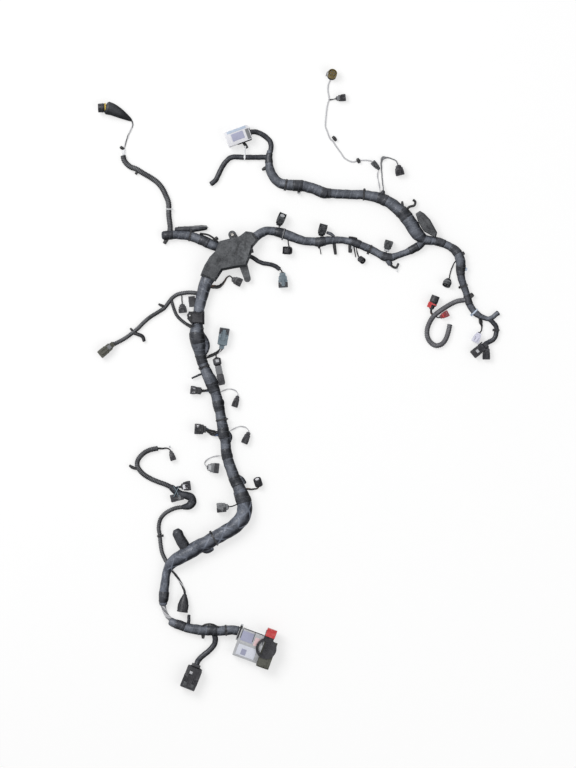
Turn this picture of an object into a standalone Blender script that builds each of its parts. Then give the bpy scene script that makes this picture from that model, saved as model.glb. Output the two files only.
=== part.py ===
"""Engine wiring harness, unplugged and laid flat with its branches spread out.

The routes are read on a layout board that is ruled in squares: columns count to the right (+X) and
rows count down the board (-Y). Each bundle lies on the board, so its centre is as high as its own
radius. Thick taped bundles and moulded covers are solid pieces that carry the harness. The thin
leads between them are plain tubes, and each connector holds the short bare wires crimped into it.
"""

import math
from dataclasses import dataclass, field

import bmesh
import bpy
import numpy as np
from mathutils import Matrix, Vector
from mathutils.bvhtree import BVHTree

# Units, the layout board and clearances
MM = 0.001
SQUARE = 2.4 * MM
ORIGIN_COLUMN = 298.98
ORIGIN_ROW = 379.99
GAP = 0.3 * MM

# How finely the rounds are cut
BUNDLE_SIDES = 12
PLUG_SIDES = 8
ROUND_SIDES = 12
CLIP_SIDES = 6
BUNDLE_STEP = 16.0 * MM
CLIP_STEP = 9.0 * MM
FINE_STEP = 0.6 * MM
TRIM_STEP = 0.15 * MM
WIRE_STEP = 10.0 * MM
RIM_POINTS = 24

# Plastic covers
HUB_HEIGHT = 35.0 * MM
HUB_CHAMFER = 5.0 * MM
HUB_FOOT_HEIGHT = 15.0 * MM
EAR_RADIUS = 9.5 * MM
EAR_HEIGHT = 13.0 * MM
EAR_DISH_RADIUS = 4.5 * MM
EAR_DISH_DEPTH = 2.5 * MM
JUNCTION_HEIGHT = 27.0 * MM
JUNCTION_CHAMFER = 3.0 * MM
BRACKET_WALL = 2.4 * MM
BRACKET_PLATE = 9.0 * MM
BRACKET_EYE_RADIUS = 6.6 * MM
BRACKET_HOLE_RADIUS = 1.9 * MM

# Connector mouths: a shell around a terminal block, with a slot between for the mating shell
MOUTH_WALL = 1.3 * MM
MOUTH_SLOT = 1.5 * MM
MOUTH_DEPTH = 6.0 * MM
MOUTH_SINK = 0.8 * MM

# Bare wires crimped into a connector, as one round bunch
WIRE_BUNCH = 3.4 * MM

# Control unit connector, in its own frame: x along the connector from its cable collar
UNIT_TURN = math.radians(-20.0)
UNIT_COLLAR_LENGTH = 6.0 * MM
UNIT_COLLAR_WIDTH = 40.0 * MM
UNIT_COVER_LENGTH = 61.0 * MM
UNIT_COVER_TOP_SIDE = 12.0 * MM
UNIT_COVER_LOW_SIDE = 57.0 * MM
UNIT_COVER_HEIGHT = 35.4 * MM
UNIT_RIDGE = 20.0 * MM
UNIT_SLOPE_HEIGHT = 24.0 * MM
UNIT_HOUSING_LENGTH = 31.0 * MM
UNIT_HOUSING_WIDTH = 66.0 * MM
UNIT_HOUSING_LOW = 4.3 * MM
UNIT_HOUSING_HIGH = 36.0 * MM
UNIT_HOUSING_TOP_SIDE = 4.8 * MM
LEVER_THICK = 3.0 * MM
LEVER_RADIUS = 25.0 * MM
LEVER_WINDOW_RADIUS = 18.5 * MM
LEVER_PIVOT_ALONG = 9.0 * MM
LEVER_PIVOT_DOWN = 14.6 * MM
LEVER_PIN_RADIUS = 4.0 * MM
LEVER_PIN_LENGTH = 3.2 * MM
LEVER_CLEARANCE = 0.1 * MM
LEVER_REACH = 32.5 * MM
LEVER_BAR_DEPTH = 8.5 * MM
LEVER_BAR_BACK = 14.0 * MM
LEVER_BAR_FRONT = 10.0 * MM
LEVER_LOW_ARM_HALF = 6.6 * MM
LOCK_PLATE = 3.0 * MM
LOCK_OVERHANG = 7.0 * MM
LOCK_TOP_REACH = 4.0 * MM
LOCK_SKIRT = 24.0 * MM
LOCK_RIB_WIDTH = 6.0 * MM
LOCK_RIB_DEPTH = 2.6 * MM


@dataclass(frozen=True)
class Finish:
    """Colour, roughness and metallic value of one material."""

    color: tuple
    roughness: float
    metallic: float = 0.0


TAPE = Finish((0.055, 0.058, 0.068), 0.62)
TAPE_BLUE = Finish((0.105, 0.115, 0.145), 0.55)
SLEEVE = Finish((0.075, 0.08, 0.1), 0.35)
CONDUIT = Finish((0.022, 0.022, 0.024), 0.5)
COVER = Finish((0.045, 0.047, 0.05), 0.5)
BLACK = Finish((0.016, 0.016, 0.018), 0.45)
DARK_GREY = Finish((0.06, 0.062, 0.062), 0.5)
GREY = Finish((0.2, 0.205, 0.21), 0.5)
BLUE_GREY = Finish((0.28, 0.34, 0.38), 0.45)
PALE = Finish((0.72, 0.72, 0.74), 0.45)
LILAC = Finish((0.74, 0.74, 0.82), 0.45)
OLIVE = Finish((0.07, 0.07, 0.05), 0.5)
GOLD_BROWN = Finish((0.16, 0.13, 0.05), 0.4, 0.4)
RED = Finish((0.55, 0.05, 0.05), 0.42)
RED_MARKED = Finish((0.3, 0.05, 0.06), 0.45)

# Thick bundles: (column, row, diameter in millimetres), from one end to the other
TRUNK_SLEEVE = [
    (207.9, 278.6, 32.0), (204.6, 286.5, 30.0), (201.9, 296.0, 28.5), (199.8, 305.0, 26.0),
    (198.4, 314.0, 25.0), (197.5, 321.0, 25.0), (197.2, 326.5, 27.0),
]
TRUNK_WRAP = [
    (197.2, 326.5, 29.0), (197.0, 332.0, 34.0), (197.2, 338.0, 36.0), (198.0, 344.0, 33.0),
    (199.5, 351.0, 28.0), (201.5, 359.0, 24.0), (204.0, 367.0, 24.5), (207.3, 374.0, 27.0),
    (210.6, 380.5, 30.0), (213.2, 387.5, 27.0), (215.9, 395.0, 25.0), (218.0, 403.0, 25.5),
    (219.7, 411.0, 24.0), (221.2, 419.0, 24.5), (222.6, 427.0, 26.0), (224.2, 435.0, 27.0),
    (225.4, 443.0, 24.5), (226.2, 451.0, 24.5), (227.8, 459.0, 25.5), (230.2, 467.0, 26.0),
    (233.2, 475.0, 27.0), (236.7, 483.0, 28.0), (240.1, 491.0, 31.0),
]
TRUNK_BEND = [
    (240.1, 491.0, 33.0), (242.6, 497.5, 35.0), (244.4, 504.5, 36.0), (244.4, 511.5, 36.0),
    (241.9, 518.5, 36.0), (236.6, 524.6, 35.5), (229.0, 530.0, 35.0), (219.5, 535.6, 34.0),
    (209.8, 541.0, 34.0), (200.0, 546.2, 34.0), (190.5, 551.4, 34.0), (182.2, 556.2, 33.0),
    (174.8, 560.8, 30.0), (169.2, 566.2, 24.0), (166.4, 573.0, 19.5), (165.3, 581.0, 20.5),
    (164.3, 589.0, 22.0), (163.6, 596.5, 23.0), (163.2, 603.0, 19.0), (164.2, 610.0, 15.0),
    (167.2, 616.4, 14.0), (171.4, 620.6, 14.0),
]
LEFT_ARM = [
    (163.0, 235.3, 19.0), (167.0, 235.0, 20.5), (172.0, 234.7, 20.5), (180.0, 235.0, 20.5),
    (190.0, 236.0, 22.0), (200.0, 239.3, 23.0), (208.5, 243.2, 24.0), (217.2, 246.7, 22.5),
]
LEFT_ARM_STRIP = [
    (175.5, 229.2, 10.0), (182.0, 229.2, 14.5), (191.0, 228.9, 14.5), (200.0, 228.0, 14.0),
    (206.5, 227.4, 10.0),
]
RAIL = [
    (255.9, 236.3, 22.0), (261.0, 232.8, 22.0), (267.0, 230.8, 20.5), (274.0, 231.2, 20.5),
    (281.0, 232.9, 22.5), (288.0, 234.9, 23.0), (296.0, 238.4, 22.0), (305.0, 240.8, 20.0),
    (313.0, 241.4, 20.0), (320.5, 241.8, 22.0), (328.0, 240.4, 19.5), (337.0, 239.8, 17.0),
    (346.0, 240.6, 16.5), (354.0, 242.3, 18.0), (362.0, 245.4, 18.5), (370.0, 249.0, 18.5),
    (378.0, 253.0, 18.0), (385.0, 256.6, 20.0), (391.5, 257.2, 18.5), (398.0, 255.3, 15.5),
    (405.0, 252.6, 15.5), (412.0, 249.6, 18.0), (419.0, 245.6, 19.0), (423.0, 241.5, 19.0),
]
TOP_RUN = [
    (269.9, 150.8, 13.0), (269.0, 158.0, 15.5), (269.1, 165.0, 19.0), (270.7, 171.6, 21.5),
    (274.3, 178.0, 22.0), (279.6, 182.5, 23.0), (286.5, 184.8, 25.0), (295.0, 185.2, 26.0),
    (304.0, 186.0, 26.0), (312.5, 188.4, 25.5), (319.5, 191.1, 26.0), (324.2, 192.6, 25.5),
    (328.0, 193.1, 22.5), (336.0, 193.7, 22.0), (348.0, 194.2, 22.0), (360.0, 194.6, 22.5),
    (370.0, 195.7, 24.0), (380.0, 198.1, 25.5), (388.5, 202.0, 27.0), (396.5, 207.4, 29.0),
    (403.6, 214.0, 31.0), (409.8, 222.0, 32.0), (414.9, 229.8, 32.0), (419.2, 235.8, 29.0),
    (424.4, 239.4, 24.0), (430.4, 240.3, 21.5),
]
RIGHT_RUN = [
    (430.4, 240.3, 21.5), (436.0, 240.9, 19.5), (444.0, 243.6, 18.5),
    (451.4, 247.3, 18.5), (457.0, 252.0, 21.0), (460.0, 258.0, 23.0), (460.8, 265.0, 23.0),
    (460.8, 271.3, 20.0), (461.6, 278.0, 18.0), (463.7, 285.0, 17.0), (466.0, 291.8, 16.0),
    (468.0, 298.3, 16.0), (470.0, 304.3, 16.0), (473.0, 309.8, 16.0), (477.2, 314.0, 15.5),
    (482.2, 316.9, 12.5), (488.0, 318.6, 11.0), (492.4, 317.4, 11.0), (495.8, 314.8, 11.0),
    (498.4, 312.9, 12.5),
]
BOTTOM_RUN = [
    (170.6, 621.5, 18.5), (174.0, 623.2, 20.5), (179.5, 625.2, 21.0), (187.0, 628.0, 22.0),
    (197.0, 629.8, 24.0), (207.0, 630.4, 24.0), (218.0, 631.0, 23.5), (228.0, 630.4, 23.0),
    (233.4, 630.2, 22.0), (238.0, 631.2, 22.0),
]
SPLICE = [
    (182.6, 507.3, 11.0), (188.4, 506.0, 18.0), (192.2, 502.4, 20.0), (191.2, 497.8, 19.0),
    (186.2, 495.6, 18.0), (180.2, 494.4, 18.0), (175.4, 491.2, 17.0), (171.0, 487.2, 14.0),
]

# Outlines of the moulded covers, as board places
HUB_OUTLINE = [
    (219.6, 241.2), (229.0, 238.8), (239.0, 236.6), (245.8, 231.4), (252.3, 232.2),
    (258.6, 240.4), (253.2, 246.6), (251.2, 254.0), (249.2, 259.4), (246.4, 266.6),
    (236.6, 267.8), (222.6, 270.6), (215.3, 281.6), (200.4, 275.4), (204.4, 265.6),
    (209.8, 256.8), (215.2, 251.4),
]
HUB_FOOT_OUTLINE = [(237.6, 262.0), (246.6, 261.0), (250.6, 277.6), (243.8, 278.6)]
HUB_FOOT_END = (247.3, 278.6)
HUB_FOOT_RADIUS = 8.2 * MM
HUB_EAR = (232.2, 234.4)
HUB_EAR_ARM = [(228.6, 236.0), (236.2, 233.6), (240.0, 240.0), (231.0, 242.0)]
JUNCTION_OUTLINE = [
    (412.4, 215.6), (420.0, 210.8), (424.4, 213.6), (430.0, 219.4), (434.2, 227.0),
    (437.2, 232.4), (436.0, 237.4), (430.4, 240.4), (419.2, 235.8), (409.8, 222.0),
]
BRACKET_OUTLINE = [(187.0, 318.6), (188.6, 311.4), (204.4, 311.4), (204.4, 324.4), (191.6, 324.4)]
BRACKET_EYE = (189.6, 315.4)


def board(column, row, height=0.0):
    """Gives the place of a board square in metres, at a height above the board."""
    return Vector(((column - ORIGIN_COLUMN) * SQUARE, (ORIGIN_ROW - row) * SQUARE, height))


def material(name, finish):
    """Makes one plain material from a finish."""
    made = bpy.data.materials.new(name)
    made.use_nodes = True
    shader = made.node_tree.nodes["Principled BSDF"]
    shader.inputs["Base Color"].default_value = (*finish.color, 1.0)
    shader.inputs["Roughness"].default_value = finish.roughness
    shader.inputs["Metallic"].default_value = finish.metallic
    made.diffuse_color = (*finish.color, 1.0)
    return made


def add_object(name, mesh, finish):
    """Puts a mesh in the scene as one named piece with a material of its own."""
    if finish is not None:
        mesh.materials.append(material(name + "_finish", finish))
    piece = bpy.data.objects.new(name, mesh)
    bpy.context.scene.collection.objects.link(piece)
    return piece


def mesh_from(name, shape):
    """Turns a bmesh into a mesh with outward faces, smooth on its rounds."""
    bmesh.ops.recalc_face_normals(shape, faces=shape.faces)
    mesh = bpy.data.meshes.new(name)
    shape.to_mesh(mesh)
    shape.free()
    mesh.shade_smooth()
    mesh.set_sharp_from_angle(angle=math.radians(40))
    return mesh


def combine(piece, other, operation):
    """Joins another solid to a piece, or cuts it away, and hides the other solid."""
    other.hide_render = True
    other.display_type = "WIRE"
    change = piece.modifiers.new(other.name, "BOOLEAN")
    change.operation = operation
    change.object = other
    change.solver = "EXACT"
    return piece


def smooth(points, after=None):
    """Reads a curve through the chosen points, at even fine steps of its length.

    A point holds its place first and may hold more values, which are blended the same way. The
    curve leaves its last point towards the place after, if one is given.
    """
    chosen = [np.array(point, float) for point in points]
    beyond = 2 * chosen[-1] - chosen[-2]
    if after is not None:
        beyond[:3] = np.array(after)
    run = [2 * chosen[0] - chosen[1], *chosen, beyond]
    fine = []
    for a, b, c, d in zip(run, run[1:], run[2:], run[3:]):
        pieces = max(4, math.ceil(np.linalg.norm((c - b)[:3]) / FINE_STEP))
        for t in np.arange(pieces) / pieces:
            bend = (2 * a - 5 * b + 4 * c - d) * t**2 + (3 * b - a - 3 * c + d) * t**3
            fine.append(0.5 * (2 * b + (c - a) * t + bend))
    fine.append(chosen[-1])
    return np.array(fine)


def lengths_of(curve):
    """Gives the distance along a curve of each of its points."""
    steps = np.linalg.norm(np.diff(curve[:, :3], axis=0), axis=1)
    return np.concatenate([[0.0], np.cumsum(steps)])


def stations(curve, start, end, step):
    """Reads a curve again at even steps between two distances along it."""
    along = lengths_of(curve)
    count = max(2, math.ceil((end - start) / step))
    places = np.linspace(start, end, count + 1)
    return np.array([np.interp(places, along, column) for column in curve.T]).T


def round_section(width, height, sides):
    """Gives an ellipse as (side, up) offsets."""
    turns = [2 * math.pi * (k + 0.5) / sides for k in range(sides)]
    return [(math.cos(turn) * width / 2, math.sin(turn) * height / 2) for turn in turns]


def box_section(width, height, sides, corner=0.22):
    """Gives a rectangle with rounded corners as (side, up) offsets."""
    cut = corner * min(width, height)
    per_corner = sides // 4
    found = []
    for quarter in range(4):
        sign_x = (1, -1, -1, 1)[quarter]
        sign_y = (1, 1, -1, -1)[quarter]
        for k in range(per_corner):
            turn = math.pi / 2 * (quarter + (k / (per_corner - 1) if per_corner > 1 else 0.5))
            x = sign_x * (width / 2 - cut) + cut * math.cos(turn)
            y = sign_y * (height / 2 - cut) + cut * math.sin(turn)
            found.append((x, y))
    return found


def ring(centre, forward, section):
    """Places a section across a direction, with its up side towards +Z."""
    side = forward.cross(Vector((0, 0, 1))).normalized()
    up = side.cross(forward).normalized()
    return [centre + side * x + up * y for x, y in section]


def loft(name, rings):
    """Makes one closed skin over rings of equal count, with a flat cap at each end."""
    shape = bmesh.new()
    loops = [[shape.verts.new(place) for place in points] for points in rings]
    for first, second in zip(loops, loops[1:]):
        for k in range(len(first)):
            n = (k + 1) % len(first)
            shape.faces.new((first[k], first[n], second[n], second[k]))
    shape.faces.new(reversed(loops[0]))
    shape.faces.new(loops[-1])
    return mesh_from(name, shape)


def prism(name, outline, low, high, chamfer=0.0):
    """Extrudes an outline of places upwards, with its top edges bevelled."""
    shape = bmesh.new()
    floor = shape.faces.new([shape.verts.new((x, y, low)) for x, y in outline])
    made = bmesh.ops.extrude_face_region(shape, geom=[floor])
    raised = [item for item in made["geom"] if isinstance(item, bmesh.types.BMVert)]
    bmesh.ops.translate(shape, verts=raised, vec=(0, 0, high - low))
    if chamfer:
        top = [edge for edge in shape.edges if all(v.co.z > high - FINE_STEP for v in edge.verts)]
        bmesh.ops.bevel(shape, geom=top, offset=chamfer, segments=1, affect="EDGES")
    return mesh_from(name, shape)


def board_outline(places):
    """Turns board places into an outline in metres."""
    return [board(column, row).xy[:] for column, row in places]


def disc_outline(centre, radius, sides=24):
    """Gives the points of a circle as an outline."""
    turns = [2 * math.pi * k / sides for k in range(sides)]
    return [(centre.x + radius * math.cos(t), centre.y + radius * math.sin(t)) for t in turns]


def rectangle(low_x, low_y, high_x, high_y):
    """Gives a rectangle as an outline."""
    return [(low_x, low_y), (high_x, low_y), (high_x, high_y), (low_x, high_y)]


def helper(name, mesh):
    """Adds a solid that only cuts or joins."""
    return add_object(name, mesh, None)


class Skin:
    """The faceted surface over a run of rings, for exact distances to it."""

    def __init__(self, rings):
        sides = len(rings[0])
        places = [place for points in rings for place in points]
        faces = [tuple(range(sides)), tuple(range(len(places) - sides, len(places)))]
        for first in range(0, len(places) - sides, sides):
            for k in range(sides):
                n = (k + 1) % sides
                faces.append((first + k, first + n, first + sides + n, first + sides + k))
        self.tree = BVHTree.FromPolygons(places, faces)
        middles = [sum(points, Vector()) / sides for points in rings]
        spans = [(points[0] - middle).length for points, middle in zip(rings, middles)]
        marks = np.array([(*middle, span) for middle, span in zip(middles, spans)])
        self.core = stations(marks, 0.0, lengths_of(marks)[-1], MM)
        self.outward = (self.core[0, :3] - self.core[1, :3], self.core[-1, :3] - self.core[-2, :3])

    def holds(self, place):
        """Tells whether a place is well inside."""
        offsets = np.array(place) - self.core[:, :3]
        reach = np.linalg.norm(offsets, axis=1)
        k = int(reach.argmin())
        if k == 0 and offsets[0].dot(self.outward[0]) > 0:
            return False
        if k == len(reach) - 1 and offsets[-1].dot(self.outward[1]) > 0:
            return False
        return reach[k] < 0.9 * self.core[k, 3]

    def distance(self, place):
        """Distance of a place from the surface, negative well inside it."""
        reach = self.tree.find_nearest(place)[3]
        return -reach if self.holds(place) else reach


class Bundle:
    """A taped bundle that lies on the board, thick enough to carry the harness."""

    def __init__(self, route):
        self.curve = smooth([(*board(c, r, d * MM / 2), d * MM / 2) for c, r, d in route])
        self.length = lengths_of(self.curve)[-1]
        self.start, self.end = 0.0, self.length
        self.skin = Skin(self.rings())

    def end_at(self, along):
        """Centre, forward direction and radius at a distance along the bundle."""
        low = min(max(along - MM, 0.0), self.length - 2 * MM)
        near = stations(self.curve, low, low + 2 * MM, MM)
        places = lengths_of(self.curve)
        x, y, z, radius = (float(np.interp(along, places, column)) for column in self.curve.T)
        forward = Vector(near[-1][:3] - near[0][:3])
        forward.z = 0.0
        return Vector((x, y, z)), forward.normalized(), radius

    def shorten(self, near_start=(), near_end=()):
        """Cuts the bundle back until its end faces are just clear of their neighbours."""
        for near, forward_step in ((near_start, True), (near_end, False)):
            for _ in range(600):
                centre, forward, radius = self.end_at(self.start if forward_step else self.end)
                if all(item.distance(p) >= GAP for item in near for p in rim(centre, forward, radius)):
                    break
                if forward_step:
                    self.start += TRIM_STEP
                else:
                    self.end -= TRIM_STEP
        self.skin = Skin(self.rings())
        return self

    @property
    def start_face(self):
        """The flat face at the start of the bundle."""
        centre, forward, _ = self.end_at(self.start)
        return Face(centre, -forward)

    @property
    def end_face(self):
        """The flat face at the end of the bundle."""
        centre, forward, _ = self.end_at(self.end)
        return Face(centre, forward)

    def distance(self, place):
        """Distance of a place from the bundle's skin, negative inside it."""
        return self.skin.distance(place)

    def height_at(self, place):
        """Height of the bundle's centre beside a place."""
        reach = np.linalg.norm(self.curve[:, :2] - np.array(place)[:2], axis=1)
        return float(self.curve[reach.argmin(), 3])

    def rings(self, round_start=False, round_end=False):
        """Rings along the bundle, with domed ends where asked."""
        count = max(2, math.ceil((self.end - self.start) / BUNDLE_STEP))
        made = [self.end_at(along) for along in np.linspace(self.start, self.end, count + 1)]
        first, last = made[0], made[-1]
        if round_start:
            made = dome(first, -1.0)[::-1] + made
        if round_end:
            made = made + dome(last, 1.0)
        return [ring(c, f, round_section(2 * r, 2 * r, BUNDLE_SIDES)) for c, f, r in made]


def dome(end, sense):
    """Gives shrinking rings that round off a bundle's end."""
    centre, forward, radius = end
    turns = [math.radians(30), math.radians(58), math.radians(78)]
    return [
        (centre + forward * (sense * radius * math.sin(t)), forward, radius * math.cos(t))
        for t in turns
    ]


class Cover:
    """A moulded cover with upright walls."""

    def __init__(self, places, height):
        self.outline = [board(column, row) for column, row in places]
        self.height = height

    def distance(self, place):
        """Distance of a place from the cover's wall, negative inside its outline."""
        inside = False
        nearest = math.inf
        for a, b in zip(self.outline, self.outline[1:] + self.outline[:1]):
            along = (b - a).xy
            t = max(0.0, min(1.0, (place.xy - a.xy).dot(along) / along.length_squared))
            nearest = min(nearest, (place.xy - a.xy - along * t).length)
            if (a.y > place.y) != (b.y > place.y):
                crossing = a.x + (place.y - a.y) * (b.x - a.x) / (b.y - a.y)
                inside ^= place.x < crossing
        return -nearest if inside else nearest

    def height_at(self, place):
        """Height at which a lead leaves the cover."""
        return 0.3 * self.height


class Tube:
    """A thin lead, so that a clip or a wire can leave from it."""

    def __init__(self, points, radius):
        self.points = np.array(points)
        self.radius = radius

    def distance(self, place):
        """Distance of a place from the lead's skin."""
        reach = np.linalg.norm(self.points - np.array(place), axis=1)
        return float(reach.min()) - self.radius

    def height_at(self, place):
        """Height of the lead's centre beside a place."""
        reach = np.linalg.norm(self.points[:, :2] - np.array(place)[:2], axis=1)
        return float(self.points[reach.argmin(), 2])


def lay(route, radius, start_height, end_height):
    """Gives a route on the board its heights: it sinks from its start to the board and rises again."""
    flat = smooth([tuple(board(column, row)) for column, row in route])
    along = lengths_of(flat)
    drop = max(3.0 * (start_height - radius), 2 * radius)
    climb = max(3.0 * (end_height - radius), 2 * radius)
    for k, distance in enumerate(along):
        down = max(0.0, 1 - distance / drop)
        up = max(0.0, 1 - (along[-1] - distance) / climb)
        high = (start_height - radius) * (down**2 * (3 - 2 * down))
        high += (end_height - radius) * (up**2 * (3 - 2 * up))
        flat[k, 2] = radius + high
    return flat


def rim(centre, forward, radius):
    """Gives points round the edge of a lead's end."""
    return ring(centre, forward, round_section(2 * radius, 2 * radius, RIM_POINTS))


def clear_route(curve, radius, step, near_start, near_end):
    """Shortens a laid route until each end face is just clear of what it meets."""
    start, end = 0.0, lengths_of(curve)[-1]
    for _ in range(800):
        points = [Vector(point) for point in stations(curve, start, end, step)]
        first = rim(points[0], points[1] - points[0], radius)
        last = rim(points[-1], points[-1] - points[-2], radius)
        start_free = all(item.distance(place) >= GAP for item in near_start for place in first)
        end_free = all(item.distance(place) >= GAP for item in near_end for place in last)
        if start_free and end_free:
            break
        start += 0.0 if start_free else TRIM_STEP
        end -= 0.0 if end_free else TRIM_STEP
    return points


class Face:
    """The flat end of a piece, which the next piece on the run stops short of."""

    def __init__(self, centre, outward):
        self.centre = Vector(centre)
        self.outward = Vector(outward).normalized()

    def distance(self, place):
        """Distance of a place in front of the face."""
        return (place - self.centre).dot(self.outward)

    def height_at(self, place):
        """Height of the face's centre."""
        return self.centre.z


@dataclass
class Plug:
    """A connector, its place on the board and the bare wires that lead into it."""

    name: str
    finish: Finish
    rear: tuple
    front: tuple
    width: float
    height: float
    rise: float = 0.0
    round: bool = False
    profile: tuple = ((0.0, 0.66), (0.2, 0.68), (0.24, 0.92), (0.52, 1.0), (1.0, 1.0))
    mouth: bool = True
    latch: bool = True
    lift: float = 0.0
    wires: tuple = ()
    wire_width: float = WIRE_BUNCH
    leaves: tuple = ()
    side_entry: bool = False
    axis: tuple = field(init=False)

    def __post_init__(self):
        height = self.height * MM
        flat = (board(*self.front) - board(*self.rear)).length
        tilt = math.atan2(self.rise * MM, flat)
        low = self.profile[0][1] * height / 2 * math.cos(tilt) if self.rise else height / 2
        low += self.lift * MM
        rear = board(*self.rear, low)
        front = board(*self.front, low + self.rise * MM)
        self.axis = (rear, front - rear)

    @property
    def tail(self):
        """The room that the bare wires take."""
        widest = max(place[2] if len(place) > 2 else self.wire_width / MM for place in self.wires)
        places = [board(place[0], place[1], widest * MM / 2) for place in self.wires]
        return Tube(smooth([tuple(place) for place in [*places, self.axis[0]]]), widest * MM / 2)

    @property
    def face(self):
        """The rear face that a lead meets."""
        rear, forward = self.axis
        return Face(rear, -forward)

    @property
    def front_face(self):
        """The front face, where a second lead leaves an in-line joint."""
        rear, forward = self.axis
        return Face(rear + forward, forward)

    def sections(self):
        """Lists (distance, width, height) from the rear to the terminals in the mouth."""
        width, height = self.width * MM, self.height * MM
        length = self.axis[1].length
        listed = [(at * length, width * share, height * share) for at, share in self.profile]
        if self.mouth:
            front_share = self.profile[-1][1]
            wide = width * front_share - 2 * MOUTH_WALL
            tall = height * front_share - 2 * MOUTH_WALL
            depth = min(MOUTH_DEPTH, 0.4 * length)
            core_wide, core_tall = wide - 2 * MOUTH_SLOT, tall - 2 * MOUTH_SLOT
            listed += [(length, wide, tall), (length - depth, wide, tall)]
            listed += [(length - depth, core_wide, core_tall)]
            listed += [(length - MOUTH_SINK, core_wide, core_tall)]
        return listed

    def wire_rings(self, sides):
        """Rings along the bare wires, from clear of their carrier to the rear face."""
        rear, forward = self.axis
        places = [(place[0], place[1]) for place in self.wires]
        widths = [place[2] if len(place) > 2 else self.wire_width / MM for place in self.wires]
        least = min(widths) * MM / 2
        height = self.leaves[0].height_at(board(*places[0])) if self.leaves else least
        route = [*places, self.rear]
        if self.side_entry:
            inner = rear + forward * 0.3
            route.append((inner.x / SQUARE + ORIGIN_COLUMN, ORIGIN_ROW - inner.y / SQUARE))
        laid = lay(route, least, max(height, least), rear.z)
        full = lengths_of(laid)
        marks = [board(*place) for place in places]
        keys = [full[np.linalg.norm(laid[:, :2] - np.array(m)[:2], axis=1).argmin()] for m in marks]

        def ring_at(along):
            """Gives the ring round the wires at a distance along them."""
            along = min(along, full[-1] - MM / 2)
            here, ahead = (
                Vector([float(np.interp(at, full, laid[:, n])) for n in range(3)])
                for at in (along, along + MM / 2)
            )
            wide = float(np.interp(along, keys, widths)) * MM
            direction = ahead - here
            direction.z = 0.0
            here.z = max(here.z, wide / 2)
            return ring(here, direction, round_section(wide, wide, sides))

        start = 0.0
        for start in np.arange(0.0, full[-1], TRIM_STEP):
            corners = ring_at(start)
            edge = corners + [(a + b) / 2 for a, b in zip(corners, corners[1:] + corners[:1])]
            middle = sum(corners, Vector()) / sides
            tested = [middle.lerp(place, share) for place in edge for share in (0.25, 0.5, 0.75, 1.0)]
            if all(item.distance(place) >= GAP for item in self.leaves for place in tested):
                break
        count = max(2, math.ceil((full[-1] - start) / WIRE_STEP))
        shares = np.linspace(start, full[-1], count + 1)
        return [ring_at(along) for along in (shares if self.side_entry else shares[:-1])]

    def build(self):
        """Makes the connector, with its wires as one skin or joined to it."""
        rear, forward = self.axis
        unit = forward.normalized()
        sides = ROUND_SIDES if self.round else PLUG_SIDES
        section = round_section if self.round else box_section
        tail = self.wire_rings(sides) if self.wires else []
        body = [ring(rear + unit * at, unit, section(wide, tall, sides))
                for at, wide, tall in self.sections()]
        low = min(place.z for points in body for place in points)
        lift = Vector((0, 0, max(0.0, -low)))
        body = [[place + lift for place in points] for points in body]
        name = self.name
        if self.side_entry:
            piece = add_object(name, loft(name, body), self.finish)
            combine(piece, helper(name + "_wires", loft(name + "_wires", tail)), "UNION")
        else:
            piece = add_object(name, loft(name, tail + body), self.finish)
        if self.latch:
            up = unit.cross(Vector((0, 0, 1))).normalized().cross(unit)
            place = rear + lift + unit * (0.72 * forward.length) + up * (self.height * MM / 2)
            half = unit * (0.16 * forward.length)
            shape = box_section(0.34 * self.width * MM, 3.6 * MM, 4)
            box = [ring(place + half * sense, unit, shape) for sense in (-1, 1)]
            combine(piece, helper(name + "_latch", loft(name + "_latch", box)), "UNION")
        return piece


@dataclass
class Lead:
    """A free lead: a plain round tube along its route."""

    name: str
    finish: Finish
    diameter: float
    route: list
    leaves: tuple
    meets: tuple = ()

    def __post_init__(self):
        radius = self.diameter * MM / 2
        start = board(*self.route[0])
        end = board(*self.route[-1])
        high = self.leaves[0].height_at(start) if self.leaves else radius
        low = self.meets[0].height_at(end) if self.meets else radius
        curve = lay(self.route, radius, max(high, radius), max(low, radius))
        step = 2.7 * self.diameter * MM
        self.points = clear_route(curve, radius, step, self.leaves, self.meets)
        marks = np.array(self.points)
        self.tube = Tube(stations(marks, 0.0, lengths_of(marks)[-1], 1.5 * MM), radius)

    @property
    def end_face(self):
        """The cut end of the lead's sheath, where its bare wires come out."""
        return Face(self.points[-1], self.points[-1] - self.points[-2])

    def build(self):
        """Makes the tube as a curve with a round bevel and filled caps."""
        data = bpy.data.curves.new(self.name, "CURVE")
        data.dimensions = "3D"
        data.bevel_depth = self.diameter * MM / 2
        data.bevel_resolution = 2
        data.use_fill_caps = True
        spline = data.splines.new("POLY")
        spline.points.add(len(self.points) - 1)
        for point, place in zip(spline.points, self.points):
            point.co = (*place, 1.0)
        data.materials.append(material(self.name + "_finish", self.finish))
        piece = bpy.data.objects.new(self.name, data)
        bpy.context.scene.collection.objects.link(piece)
        return piece


def bore_of(name, bundle):
    """Makes a cutter that leaves a clear gap round a bundle."""
    count = math.ceil(bundle.length / BUNDLE_STEP)
    sections = []
    for along in np.linspace(0.0, bundle.length, count + 1):
        centre, forward, radius = bundle.end_at(along)
        wide = 2 * (radius + 1.8 * GAP)
        sections.append(ring(centre, forward, round_section(wide, wide, BUNDLE_SIDES)))
    return helper(name, loft(name, sections))


def bundle_piece(name, bundle, finish, round_start=False, round_end=False):
    """Makes the solid of a thick bundle."""
    return add_object(name, loft(name, bundle.rings(round_start, round_end)), finish)


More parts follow.
